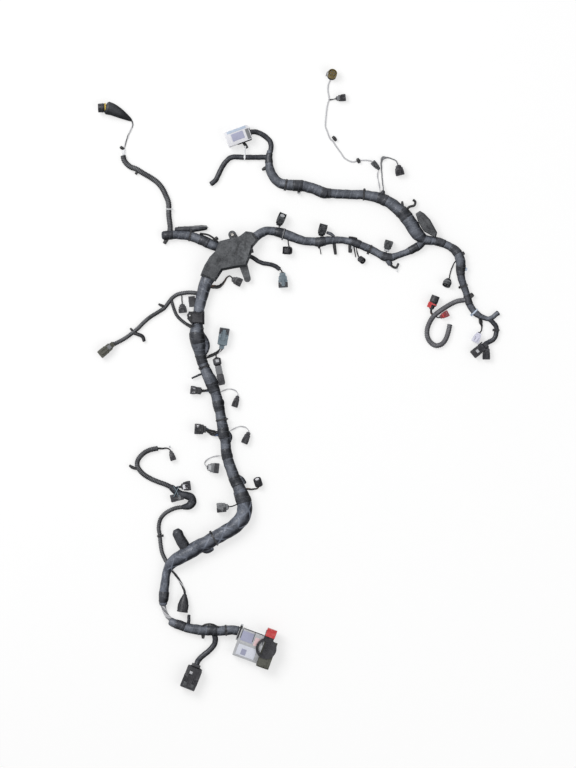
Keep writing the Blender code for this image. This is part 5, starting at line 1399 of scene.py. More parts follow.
@dataclass
class UpperRuns:
    """The left arm, the rail, the top run, the right run and the lower splice."""

    left_arm_route: list = field(default_factory=lambda: [
        (163, 235.3, 19), (167, 235, 20.5), (172, 234.7, 20.5), (180, 235, 20.5),
        (190, 236, 22), (200, 239.3, 23), (208.5, 243.2, 24), (217.2, 246.7, 22.5),
    ])
    rail_route: list = field(default_factory=lambda: [
        (255.9, 236.3, 22), (261, 232.8, 22), (267, 230.8, 20.5), (274, 231.2, 20.5),
        (281, 232.9, 22.5), (288, 234.9, 23), (296, 238.4, 22), (305, 240.8, 20),
        (313, 241.4, 20), (320.5, 241.8, 22), (328, 240.4, 19.5), (337, 239.8, 17),
        (346, 240.6, 16.5), (354, 242.3, 18), (362, 245.4, 18.5), (370, 249, 18.5),
        (378, 253, 18), (385, 256.6, 20), (391.5, 257.2, 18.5), (398, 255.3, 15.5),
        (405, 252.6, 15.5), (412, 249.6, 18), (419, 245.6, 19), (423, 241.5, 19),
    ])
    top_route: list = field(default_factory=lambda: [
        (269.9, 150.8, 13), (269, 158, 15.5), (269.1, 165, 19), (270.7, 171.6, 21.5),
        (274.3, 178, 22), (279.6, 182.5, 23), (286.5, 184.8, 25), (295, 185.2, 26),
        (304, 186, 26), (312.5, 188.4, 25.5), (319.5, 191.1, 26), (324.2, 192.6, 25.5),
        (328, 193.1, 22.5), (336, 193.7, 22), (348, 194.2, 22), (360, 194.6, 22.5),
        (370, 195.7, 24), (380, 198.1, 25.5), (388.5, 202, 27), (396.5, 207.4, 29),
        (403.6, 214, 31), (409.8, 222, 32), (414.9, 229.8, 32), (419.2, 235.8, 29),
        (424.4, 239.4, 24), (430.4, 240.3, 21.5),
    ])
    right_route: list = field(default_factory=lambda: [
        (430.4, 240.3, 21.5), (436, 240.9, 19.5), (444, 243.6, 18.5),
        (451.4, 247.3, 18.5), (457, 252, 21), (460, 258, 23), (460.8, 265, 23),
        (460.8, 271.3, 20), (461.6, 278, 18), (463.7, 285, 17), (466, 291.8, 16),
        (468, 298.3, 16), (470, 304.3, 16), (473, 309.8, 16), (477.2, 314, 15.5),
        (482.2, 316.9, 12.5), (488, 318.6, 11), (492.4, 317.4, 11), (495.8, 314.8, 11),
        (498.4, 312.9, 12.5),
    ])
    splice_route: list = field(default_factory=lambda: [
        (182.6, 507.3, 11), (188.4, 506, 18), (192.2, 502.4, 20), (191.2, 497.8, 19),
        (186.2, 495.6, 18), (180.2, 494.4, 18), (175.4, 491.2, 17), (171, 487.2, 14),
    ])

    def __post_init__(self) -> None:
        """Names the bundles."""
        self.left_arm = TapedBundle("left_arm_bundle", "conduit", CLOTH_TAPE, self.left_arm_route,
                                    bands=((168.0, 235.0), (204.0, 241.0)))
        self.rail = TapedBundle(
            "rail_bundle", "conduit", CLOTH_TAPE, self.rail_route,
            bands=((280.0, 232.6), (320.5, 241.8), (356.0, 243.0), (387.0, 256.8), (414.0, 248.6)),
        )
        self.top = TapedBundle(
            "top_run_bundle", "tape", CLOTH_TAPE, self.top_route,
            bands=((269.0, 158.0), (298.0, 185.4), (326.0, 192.9), (382.0, 199.0), (404.0, 214.4)),
        )
        self.right = TapedBundle("right_run_bundle", "tape", CLOTH_TAPE, self.right_route,
                                 bands=((440.0, 242.2), (455.0, 250.0), (460.9, 270.0), (468.4, 299.6)))
        self.splice = TapedBundle("lower_left_splice", "tape", BLACK_TAPE, self.splice_route)

    def fittings(self) -> list:
        """Lists the clips, straps and hooks along these runs.

        Returns:
            Rods, ties and blocks, ready to build.
        """
        tape, conduit = "tape", "conduit"
        return [
            Rod("left_arm_strip", BLACK_TAPE, [(175.5, 229.2, 10), (182, 229.2, 14.5), (191, 228.9, 14.5),
                (200, 228, 14), (206.5, 227.4, 10)], 0, conduit),
            Rod("left_arm_strap_end", BLACK_NYLON, [(168.4, 235.6, 9), (166.4, 239.4, 10),
                (164.4, 243, 9)], 6),
            Rod("left_arm_round_clip", BLACK_NYLON, [(212, 242, 9), (214.8, 239.6, 9),
                (217.2, 237.8, 9.5)], 12),
            Rod("left_arm_thin_lead", BLACK_WIRE, [(200, 233.5, 4.6), (207, 234.5, 4.6), (212, 237, 4.6),
                (218, 242, 4.6)], 18),
            Rod("left_arm_strip_wire", GREY_WIRE, [(178, 226.8, 2.2), (190, 226.6, 2.2), (204, 226.2, 2.2),
                (208, 227.4, 2.2)], 12.6),
            CableTie("left_arm_tie", BLACK_NYLON, self.left_arm.run, (190, 236), -70),
            Rod("rail_tape_point", BLACK_TAPE, [(319.6, 242.6, 14), (319.4, 245.2, 10), (319, 248, 4)], 9,
                conduit),
            Rod("rail_point_wire", BLACK_WIRE, [(319.6, 247, 2.4), (320.4, 250, 2.4), (321, 254, 2.4)], 4),
            Rod("rail_hanging_clip", BLACK_NYLON, [(334, 241.6, 8), (334.8, 248, 8), (335.6, 254, 7)], 6),
            Rod("rail_block_stem", BLACK_NYLON, [(350.6, 242.6, 10), (350.4, 247.4, 10),
                (350.2, 252, 9)], 7),
            Block("rail_block_face", PALE_GREY, (352, 247, 9), (3.6, 9, 3), -4),
            Rod("rail_spike", BLACK_NYLON, [(353.4, 243.4, 4), (354.6, 250, 3.4), (355.8, 257, 2.6)], 7),
            Rod("rail_strap", BLACK_NYLON, [(349, 237.2, 5), (353, 237.6, 5), (357, 238.6, 5)], 14),
            Rod("rail_top_lump", CLOTH_TAPE, [(327, 232.4, 6), (330.6, 233.6, 7.5), (334, 236.2, 6)], 12,
                conduit),
            Rod("rail_lump", CLOTH_TAPE, [(387.6, 256.6, 16), (388.6, 260.4, 15), (390.6, 264.4, 11)], 9,
                conduit),
            Rod("rail_hook", BLACK_NYLON, [(389.8, 263, 7), (392.6, 266.4, 6), (396.4, 267.4, 6),
                (398.6, 263.4, 5.5)], 6),
            Rod("rail_hook_tip", WHITE_NYLON, [(397, 271.6, 3.4), (397.6, 269.6, 3.4), (397.4, 268, 3)], 4),
            CableTie("rail_white_tie", GREY, self.rail.run, (283.6, 233.6), 105, 2.4 * MM),
            CableTie("rail_black_tie", BLACK_NYLON, self.rail.run, (370, 249), 70),
            Rod("top_corner_clip", BLACK_NYLON, [(267.4, 167, 9), (264.8, 168.2, 9), (262.4, 169.6, 6)], 9),
            Rod("top_edge_clip", BLACK_NYLON, [(298.8, 187.6, 8), (298.9, 190.6, 8), (299, 193.6, 6)], 9),
            Rod("top_edge_clip_tip", WHITE_NYLON, [(299, 192.6, 5), (299, 194, 4), (299.1, 195, 3)], 10),
            Rod("top_wire_foot", BLACK_TAPE, [(382.6, 194.6, 10), (382.9, 192.8, 10),
                (383.4, 190.8, 8)], 12, tape),
            Rod("top_fin", BLACK_NYLON, [(402.6, 207.4, 8), (402.5, 204.4, 7), (402.3, 201.4, 5)], 12),
            Rod("top_hook", BLACK_NYLON, [(405.6, 211, 7), (409.4, 206.8, 6), (414.4, 205.2, 6),
                (415.4, 201.6, 6), (413.4, 199.8, 6.5)], 8),
            CableTie("top_tie_left", BLACK_NYLON, self.top.run, (286, 184.7), 50),
            CableTie("top_tie_right", BLACK_NYLON, self.top.run, (364, 195), -60),
            Rod("right_ball_clip", BLACK_NYLON, [(460.8, 254.8, 9), (462.4, 253.8, 9.5),
                (464, 252.8, 9)], 12),
            Rod("right_side_knob", BLUE_TINT, [(463.6, 268.6, 9), (465.2, 268.9, 9), (466.9, 269.3, 7)], 10,
                "pale_plastic"),
            Rod("right_corner_knob", BLACK_NYLON, [(469, 297.2, 12), (471, 295.8, 12),
                (472.8, 294.4, 11)], 8),
            CableTie("right_tie", BLACK_NYLON, self.right.run, (464, 286), 120),
            CableTie("right_blue_tie", BLUE_TINT, self.right.run, (475, 311.8), 100),
            Rod("splice_cross_tie_1", BLUE_GREY, [(173.6, 486.4, 2.4), (176.6, 491.4, 2.4),
                (178.6, 496.6, 2.4)], 18.6, "pale_plastic"),
            Rod("splice_cross_tie_2", BLUE_GREY, [(178.8, 487, 2.4), (176.4, 491.4, 2.4),
                (173.8, 496.8, 2.4)], 19.4, "pale_plastic"),
            Rod("return_clip", BLACK_NYLON, [(136.4, 468.8, 7), (132.4, 467.6, 8), (129.4, 465.6, 6)], 7),
            Rod("branch_fin", BLACK_NYLON, [(165.4, 307, 7), (161.4, 305.4, 7), (158.6, 304, 5)], 6),
            Rod("branch_clip", BLACK_NYLON, [(134, 332, 6), (131.8, 330, 6), (130.2, 328.4, 5)], 6),
            Rod("branch_elbow", BLACK, [(133.6, 333, 8), (138.6, 334.6, 9), (142.4, 336.6, 9),
                (144, 341, 8)], 6),
            Rod("upper_clip_1", BLACK_NYLON, [(123.6, 148.6, 6), (121.6, 147.6, 8), (120.4, 146.6, 7)], 5),
            Rod("upper_clip_2", BLACK_NYLON, [(138, 170.4, 6), (136.6, 172.2, 7), (135.6, 173.8, 6)], 6),
            Rod("thin_clip_1", BLACK_NYLON, [(357.6, 158.4, 7), (358.6, 160.4, 9), (359.4, 162.4, 7)], 5),
            Rod("thin_clip_2", BLACK_NYLON, [(333, 136.4, 7), (334.6, 138.2, 9), (336, 140.2, 7)], 5),
            Rod("top_branch_tip", WHITE_NYLON, [(213, 182, 6.6), (211.4, 183.4, 6.4), (210, 184.8, 5)], 6,
                "pale_plastic"),
            Rod("boot_sleeve", RUBBER, [(130.6, 119.8, 7), (128.6, 118.4, 11), (121, 113.9, 22),
                (113, 109.7, 29), (107.6, 107.9, 32)], 0),
            Rod("boot_wire_cuff", WHITE_NYLON, [(123.2, 156.4, 8), (123.4, 153, 8), (123.8, 149.6, 7)], 4,
                "pale_plastic"),
            Rod("box_tie_strap", WHITE_NYLON, [(245.2, 146, 4.4), (244.9, 151.6, 4.4),
                (244.6, 157, 4.4)], 13, "pale_plastic"),
            Rod("box_tie_block", BLACK_NYLON, [(243.4, 142.6, 7), (245.2, 144.4, 8), (247, 147.6, 7)], 8),
        ]

    def build(self) -> None:
        """Makes these runs."""
        for bundle in (self.left_arm, self.rail, self.top, self.right, self.splice):
            bundle.build()
        for fitting in self.fittings():
            fitting.build()


@dataclass
class Leads:
    """The twelve free leads between bundles and connectors."""

    def listed(self) -> list[FreeLead]:
        """Lists the leads with their routes and the heights of their two ends.

        Returns:
            The leads, with heights and diameters in millimetres.
        """
        tape = {"finish": BLACK_TAPE, "wound": Wound.TAPE}
        return [
            FreeLead("upper_left_lead", 13, [(169.7, 232.5), (170, 226), (168.7, 215), (168.4, 203),
                (165.5, 195), (162, 188), (157, 182), (150, 177), (143, 173), (136, 168.7), (131, 167),
                (127, 164), (124, 160), (123, 156)], (10.2, 6.5), far_end="connector",
                carries=("upper_left_boot_body",)),
            FreeLead("top_loop_lead", 12, [(270.1, 152), (271, 147), (270, 141), (265, 136), (260, 133),
                (255, 131.6), (248.8, 132.4)], (6.5, 15), far_end="connector",
                carries=("box_connector_body",), **tape),
            FreeLead("top_branch_lead", 12, [(268, 157), (255, 157), (245, 157), (232, 157), (226, 161),
                (222, 167), (218.5, 174), (215.5, 180), (211, 183.5)], (7.7, 6), far_end="bare", **tape),
            FreeLead("thin_long_lead", 3.6, [(373.2, 162), (369.4, 160.2), (362, 160), (357.6, 160.6),
                (352, 161.5), (345, 158), (341, 152.5), (337, 147), (333, 141), (330, 138), (327, 130),
                (325.5, 125), (326.5, 112), (327.5, 105), (329, 99.5), (329, 96), (328, 90), (328.5, 84),
                (330.2, 80)], (5.5, 1.8), WHITE_WIRE, Wound.SMOOTH, "connector",
                ("round_gold_connector_body",)),
            FreeLead("cover_lead", 10, [(248, 255.8), (253, 257.5), (258, 261), (263, 263), (269, 264),
                (275, 265.8), (279.5, 268.8)], (10.5, 5), far_end="connector",
                carries=("green_grey_connector_body",), **tape),
            FreeLead("right_loop_lead", 12, [(467, 299.6), (458, 301), (452, 303.5), (446, 307), (440, 311),
                (434, 316), (430, 322), (427.5, 329), (427.5, 336), (430.5, 342), (436, 345.5), (442, 344),
                (446, 339), (448.5, 332), (450, 325)], (8, 6), GREY_CONDUIT, Wound.CONDUIT, "bare"),
            FreeLead("right_end_lead", 11, [(489, 318.4), (493, 322), (496.5, 327), (496.5, 333),
                (494, 339), (486, 343.6)], (5.5, 9), far_end="connector",
                carries=("pair_connector_body", "pair_second_body"),
                **tape),
            FreeLead("left_branch_lead", 10, [(199, 293.4), (190, 292.4), (183, 293), (177, 294.5),
                (172, 298), (168, 303), (164, 308), (158, 312), (150, 317), (144, 322), (138, 328),
                (132, 333), (126, 337.5), (120, 341), (112, 345)], (14.5, 9), far_end="connector",
                carries=("left_end_connector_body",)),
            FreeLead("left_loop_lead", 8, [(171, 299), (173.5, 308), (176.5, 315), (181, 320), (187, 324.4),
                (197, 330)], (5, 16)),
            FreeLead("lower_left_lead", 10, [(168.4, 565), (165.2, 560), (162, 553), (160.5, 545),
                (159.5, 535), (158.5, 528), (160, 520), (164.5, 514), (171, 510), (177, 508), (184, 507.2)],
                (12.5, 5.5)),
            FreeLead("lower_left_return_lead", 12, [(172, 487.8), (165, 484.5), (158, 482), (150, 478.5),
                (143, 474), (138, 468), (137, 463), (139, 458), (144, 453), (150, 450), (157, 448.5)],
                (7, 6), far_end="connector",
                carries=("lower_left_connector_body",)),
            FreeLead("bottom_branch_lead", 13, [(212.6, 630.4), (215, 637), (214.5, 644), (210, 650),
                (203, 656), (198, 661), (196, 666)], (11.9, 14), far_end="connector",
                carries=("bottom_box_connector_body",), **tape),
        ]

    def build(self) -> dict[str, Run]:
        """Makes the leads.

        Returns:
            The line of each lead by its name.
        """
        leads = self.listed()
        for lead in leads:
            lead.build()
        return {lead.name: lead.run for lead in leads}


@dataclass
class Connectors:
    """All the connectors of the harness, from the boot at the upper left to the bottom box."""

    def upper(self) -> list[Connector]:
        """Lists the connectors of the upper left, the top run and the thin lead.

        Returns:
            The connectors, ready to build.
        """
        black, grey = "black_plastic", "grey_plastic"
        return [
            Connector("upper_left_boot", black, BLACK, (105.8, 107.6), (98, 108), 21, 21, lift=5.5,
                round=True, profile=((0, 1), (0.3, 1), (0.34, 1.08), (0.5, 1.08), (0.54, 1), (1, 1)),
                latch=False, pins=(3, 2), wire_finish=WHITE_WIRE, wires=((123, 157.6, 4), (123.6, 151, 4),
                (125.2, 143, 4), (128.3, 134.4, 4), (131.2, 128, 4), (132.4, 123.8, 4), (131.4, 120.4, 5),
                (128.6, 118.4, 6), (121, 113.9, 8), (113, 109.7, 8), (107.6, 107.9, 8)),
                accents=(Accent(YELLOW, (0.06, 0, 0), (0.14, 1.1, 1.1), True),)),
            Connector("box_connector", "pale_plastic", PALE, (250, 131.6), (226.5, 140.2), 36, 30,
                latch=False, profile=((0, 0.94), (0.1, 1), (0.78, 1), (0.8, 1.03), (0.86, 1.03), (0.88, 1),
                (1, 1)), pins=(6, 2), accents=(Accent(BLUE_TINT, (0.5, -0.4, 0.49), (0.8, 0.16, 0.06)),
                Accent(BLACK, (0.34, 0.48, -0.05), (0.6, 0.12, 0.8)), Accent(GREY, (0.1, 0.1, 0.5),
                (0.14, 0.7, 0.05)), Accent(LABEL, (0.52, 0.02, 0.5), (0.5, 0.5, 0.02)),)),
            Connector("fine_connector_a", grey, DARK_GREY, (379.2, 168.7), (372.5, 161.5), 12, 11,
                mouth=False, wires=((380.6, 194), (379.2, 184), (377.8, 176), (378.2, 171.6)), start=12,
                strands=2, wire_finish=WHITE_WIRE),
            Connector("fine_connector_b", black, BLACK, (398.3, 165.5), (400.5, 175), 20, 17, start=12.5,
                wire_finish=GREY_WIRE, wires=((383.9, 193), (382.5, 180), (381.7, 168, 3.4),
                (381.6, 161, 5), (383.4, 157.8, 10), (387, 157.2, 4), (392, 158.4, 3.4), (396.4, 160.8)),),
            Connector("fine_connector_c", grey, BLACK, (336.5, 98.2), (345.8, 97), 15.6, 13, start=1.8,
                wires=((329.4, 99.4), (332.6, 99, 4)), strands=2, accents=(Accent(GREY, (0.2, 0, 0.36),
                (0.3, 0.6, 0.2)),)),
            Connector("round_gold_connector", "gold_brown_plastic", GOLD, (331.4, 76.6), (332.7, 72.8),
                21.6, 21.6, rise=20, round=True, latch=False, pins=(2, 2), strands=2, start=1.8,
                wires=((330.1, 80.4), (330.6, 79.2)), side_entry=True, wire_finish=WHITE_WIRE,
                accents=(Accent(BLACK, (0.3, 0, 0), (0.2, 1.02, 1.02), True), Accent(PALE_GREY,
                (0.7, 0.5, 0.1), (0.5, 0.16, 0.4)), Accent(BLACK, (0.5, 0.58, 0.1), (0.6, 0.12, 0.26)),)),
        ]

    def rail(self, rail: Run, hub_height: float) -> list[Connector]:
        """Lists the connectors along the rail, and the one on the hub cover's lead.

        Args:
            rail: The rail bundle's line, which the wires leave.
            hub_height: Height of the end of the lead that leaves the hub cover, in mm.

        Returns:
            The connectors.
        """
        grey, black = "grey_plastic", "black_plastic"
        level = rail.height_at(board(280.0, 232.6)) / MM
        return [
            Connector("rail_connector_1", grey, DARK_GREY, (279, 224), (282.5, 215.5), 18, 20, rise=18,
                wires=((279.6, 231), (279.2, 226.6)), start=level, accents=(Accent(PALE_GREY, (0.97, 0, 0),
                (0.04, 0.62, 0.62), True),)),
            Connector("rail_connector_2", black, BLACK, (290.6, 250.6), (285.3, 250.3), 18, 17, rise=16,
                wires=((287.6, 237), (288.4, 243), (289.2, 247.4)), start=level, side_entry=True),
            Connector("rail_connector_3", grey, DARK_GREY, (321.2, 234.6), (323.5, 226), 19, 17, rise=16,
                wires=((320.6, 241), (320.9, 237.2)), start=level),
            Connector("rail_connector_4", grey, DARK_GREY, (386.8, 250.1), (389.4, 240.8), 19, 17, rise=4,
                wires=((385.6, 255.6), (386.2, 252.6)), start=10, seal=GREY_SEAL, accents=(Accent(PALE_GREY,
                (0, 0, 0.1), (0.2, 0.66, 0.5)),)),
            Connector("rail_ring", black, BLACK, (360, 258.4), (363.4, 261.2), 15, 15, rise=9, round=True,
                profile=STRAIGHT, latch=False, pins=(1, 1), start=9, wires=((356, 244.4), (357, 251),
                (358.6, 256.4)), replaces=False, strands=2),
            Connector("green_grey_connector", "blue_grey_plastic", BLUE_GREY, (282.4, 272.8),
                (283.3, 287.5), 21.6, 20, wires=((278.9, 268.3), (281.2, 270.2)), start=hub_height,
                strands=4, accents=(Accent(BLACK, (0.81, 0, 0), (0.36, 1.03, 1.03)), Accent(PALE_GREY,
                (0.7, -0.2, 0.53), (0.12, 0.2, 0.04)))),
        ]

    def right(self, right: Run) -> list[Connector]:
        """Lists the connectors of the right run.

        Args:
            right: The right run's line.

        Returns:
            The connectors.
        """
        black = "black_plastic"
        level = right.height_at(board(457.6, 258.6)) / MM
        return [
            Connector("round_grey_connector", "grey_plastic", DARK_GREY, (448.8, 279.5), (446.3, 285.5), 20,
                20, rise=8, round=True, latch=False, start=level, wires=((457.6, 258.6), (455, 262),
                (452.5, 267), (450.5, 273), (449.8, 277)), accents=(Accent(GREY, (0.5, 0, 0),
                (0.16, 1.04, 1.04), True),)),
            Connector("red_lock_connector", black, BLACK, (431.3, 308.4), (436, 295.8), 20, 20, round=True,
                latch=False, start=6, pins=(2, 2), wires=((434.4, 316, 6), (431.4, 312.4, 6)),
                accents=(Accent(RED, (0.22, 0.34, 0.24), (0.42, 0.46, 0.5)), Accent(RED, (0.34, 0, 0),
                (0.1, 1, 1), True))),
            Connector("red_mark_connector", "dark_red_plastic", DARK_RED, (440.6, 317), (448.6, 312.8),
                14.4, 13, start=6, wires=((435.6, 314.6), (437.4, 317.4)), side_entry=True,
                accents=(Accent(RED, (0.5, 0, 0.5), (0.5, 0.6, 0.1)), Accent(PALE, (0.78, 0, 0.56),
                (0.16, 0.4, 0.08)))),
            Connector("white_connector", "lilac_plastic", LILAC, (479.5, 333), (475, 342), 17, 15,
                start=6.2, strands=4, wire_finish=BLACK_WIRE, wires=((480.4, 317, 9.6), (481.2, 322.6, 9.6),
                (482.2, 326.4, 4), (481.6, 330.6)),),
            Connector("pair_connector", black, BLACK, (487, 343.5), (472.8, 355), 20, 18, latch=False,
                pins=(3, 2), accents=(Accent(PALE_GREY, (0.66, 0, 0.5), (0.14, 0.4, 0.05)), Accent(BLACK,
                (0.3, -0.5, 0.1), (0.3, 0.12, 0.4)))),
            Connector("pair_second", black, BLACK, (486.6, 345.6), (486.5, 359.5), 17, 15, replaces=False,
                pins=(2, 1),),
        ]

    def left(self, sleeve: Run, branch: Run) -> list[Connector]:
        """Lists the connectors of the left branch and beside the hub cover.

        Args:
            sleeve: The trunk's line, which wires leave.
            branch: The line of the left branch, which a wire leaves.

        Returns:
            The connectors, ready to build.
        """
        black = "black_plastic"
        return [
            Connector("left_end_connector", "olive_plastic", OLIVE, (113.5, 343.5), (99.5, 355), 19, 18,
                pins=(3, 1), accents=(Accent(GREY, (0.3, 0, 0.52), (0.2, 0.5, 0.05)),)),
            Connector("small_black_connector", black, BLACK, (182, 304.5), (182.8, 312.8), 19, 16,
                wires=((181.6, 293.6), (181.8, 299), (182, 302.6)),
                start=branch.height_at(board(181.6, 293.6)) / MM),
            Connector("hanging_black_connector", black, BLACK, (232.5, 279), (241.5, 283), 19, 17,
                start=sleeve.height_at(board(209, 286)) / MM, strands=5, wires=((209, 286, 9.6),
                (214.5, 286.8, 9.6), (219, 286.4, 9), (223.4, 282.6, 6), (226.6, 277.6, 4),
                (229.4, 275.8, 3.4), (231.6, 277.2)),),
        ]

    def trunk(self, wrap: Run) -> list[Connector]:
        """Lists the connectors on both sides of the trunk.

        Args:
            wrap: The trunk wrap's line.

        Returns:
            The connectors.
        """
        black = "black_plastic"
        level = wrap.height_at(board(220.0, 412.0)) / MM
        return [
            Connector("blue_grey_connector", "blue_grey_plastic", BLUE_GREY, (221.4, 348.8), (224.8, 328),
                23, 20, profile=NECKED, bunch=8, start=level, strands=6, pins=(3, 2), wires=((203, 358.2),
                (210, 355.9), (216, 353.2), (219.6, 350.6)), accents=(Accent(BLACK, (0.84, 0, 0),
                (0.3, 1.03, 1.03)),)),
            Connector("stacked_connector", black, BLACK, (216.2, 357.6), (222, 385), 16, 15, mouth=False,
                latch=False, start=4, strands=2, bunch=4, wires=((216, 353, 4), (216, 356, 4)),
                profile=((0, 0.5), (0.04, 1.2), (0.24, 1.2), (0.28, 0.85), (0.62, 0.9), (0.66, 1), (0.9, 1),
                (1, 0.86)), accents=(Accent(PALE_GREY, (0.12, 0.05, 0.58), (0.1, 0.5, 0.08)), Accent(GREY,
                (0.45, 0, 0), (0.3, 0.98, 0.98)))),
            Connector("mouth_connector_a", black, BLACK, (201, 391), (190.3, 389.8), 19, 17,
                profile=((0, 0.9), (0.5, 0.9), (0.52, 1), (1, 1)), bunch=7, start=level, wires=((212, 390),
                (205.4, 390.7)), strands=4, accents=(Accent(PALE, (0.66, 0, 0.5), (0.26, 0.6, 0.08)),)),
            Connector("mouth_connector_b", black, BLACK, (206, 429.5), (194.5, 428.8), 24, 20, start=level,
                strands=5, pins=(3, 2), wires=((221, 434.4, 12), (212.6, 433, 15), (208, 430.6, 9.6)),
                accents=(Accent(PALE, (0.72, -0.16, 0.5), (0.12, 0.44, 0.08)), Accent(GREY,
                (0.5, 0.44, 0.3), (0.5, 0.14, 0.3)))),
            Connector("side_connector_a", black, BLACK, (237.6, 396.4), (234.2, 407), 14.4, 13, start=level,
                strands=2, wire_finish=WHITE_WIRE, wires=((216, 394.6), (222.6, 391), (229, 389),
                (235.4, 390.6), (237.8, 394.2)),),
            Connector("side_connector_b", black, BLACK, (248.6, 432.8), (244, 443.5), 15.6, 14, start=level,
                strands=2, wire_finish=WHITE_WIRE, wires=((226, 433.6), (233.6, 429), (239.6, 426.6),
                (245.8, 427.6), (248.6, 430.8)),),
            Connector("dome_connector", "grey_plastic", GREY, (207.6, 467.4), (219, 468.5), 23, 20,
                start=level, side_entry=True, latch=False, strands=2, wire_finish=WHITE_WIRE,
                wires=((225, 455.6), (215, 456.5), (208.2, 459), (204.4, 463.6)), accents=(Accent(BLACK,
                (0.74, 0, 0), (0.5, 1.03, 1.03)), Accent(PALE_GREY, (0.2, 0, 0.42), (0.24, 0.5, 0.1)))),
            Connector("ring_terminal", black, BLACK, (259, 485.5), (257, 479), 19, 17, rise=9, round=True,
                latch=False, profile=STRAIGHT, side_entry=True, start=level, pins=(1, 1),
                wires=((245, 489, 6), (252, 489.4, 5), (257, 488.6, 4)), accents=(Accent(PALE, (0.96, 0, 0),
                (0.08, 0.5, 0.5), True),)),
            Connector("small_lower_connector", "lilac_plastic", GREY, (228, 507), (216.8, 508), 21.6, 18,
                start=level, wires=((241, 502.6), (234, 505.8), (230, 506.7)), accents=(Accent(BLACK,
                (0.6, 0.27, 0), (0.84, 0.52, 1.02)),)),
        ]

    def lower(self, bend: Run) -> list[Connector]:
        """Lists the connectors of the lower left and the bottom.

        Args:
            bend: The line of the trunk's bend, which wires leave.

        Returns:
            The connectors, ready to build.
        """
        black = "black_plastic"
        return [
            Connector("lower_left_connector", black, BLACK, (170.6, 451.6), (173.4, 460.5), 13, 13,
                latch=False, start=6, wires=((156, 448.7, 6), (162, 448.6, 5), (166.6, 448.4, 4),
                (169.4, 449.4)), accents=(Accent(PALE_GREY, (-0.5, 0.1, 0.1), (0.24, 0.3, 0.3)),)),
            Connector("splice_connector_upper", black, BLACK, (181.4, 486.8), (190.5, 485.5), 21.6, 18,
                start=8, wires=((174.6, 491, 6), (176.4, 487.8, 6)), side_entry=True, accents=(Accent(PALE,
                (0.4, -0.05, 0.5), (0.5, 0.5, 0.08)),)),
            Connector("splice_lower", black, BLACK, (183, 496.2), (170.5, 499), 17, 17, profile=STRAIGHT,
                pins=(2, 1), replaces=False, accents=(Accent(GREY, (0.3, 0, 0.5), (0.2, 0.7, 0.06)),)),
            Connector("bell_boot", black, BLACK, (184.8, 594.5), (182.2, 612.2), 25, 25, round=True,
                latch=False, profile=BELL, bunch=6, pins=(2, 2), strands=4,
                start=bend.height_at(board(169.6, 568)) / MM, wires=((169.6, 568), (173.6, 572.8),
                (178.2, 579), (182.2, 586), (184.4, 591.4)),),
            Connector("bottom_box_connector", black, BLACK, (196.5, 664.5), (187, 688.5), 36, 28,
                profile=((0, 0.6), (0.1, 0.6), (0.14, 1), (0.5, 1), (0.52, 1.04), (0.56, 1.04), (0.58, 1),
                (1, 1)), pins=(5, 2), accents=(Accent(DARK_GREY, (0.5, 0.47, 0.2), (0.6, 0.12, 0.3)),
                Accent(PALE_GREY, (0.36, -0.14, 0.51), (0.1, 0.2, 0.03)), Accent(DARK_GREY, (0.84, 0, 0.52),
                (0.16, 0.7, 0.06)))),
        ]

    def build(self, runs: UpperRuns, trunk: Trunk, leads: dict[str, Run]) -> None:
        """Makes every connector.

        Args:
            runs: The upper runs.
            trunk: The trunk.
            leads: The leads' lines by name.
        """
        listed = self.upper() + self.rail(runs.rail.run, 5.0) + self.right(runs.right.run)
        listed += self.left(trunk.sleeve.run, leads["left_branch_lead"])
        listed += self.trunk(trunk.wrap.run)
        listed += self.lower(trunk.bend.run)
        for connector in listed:
            connector.build()


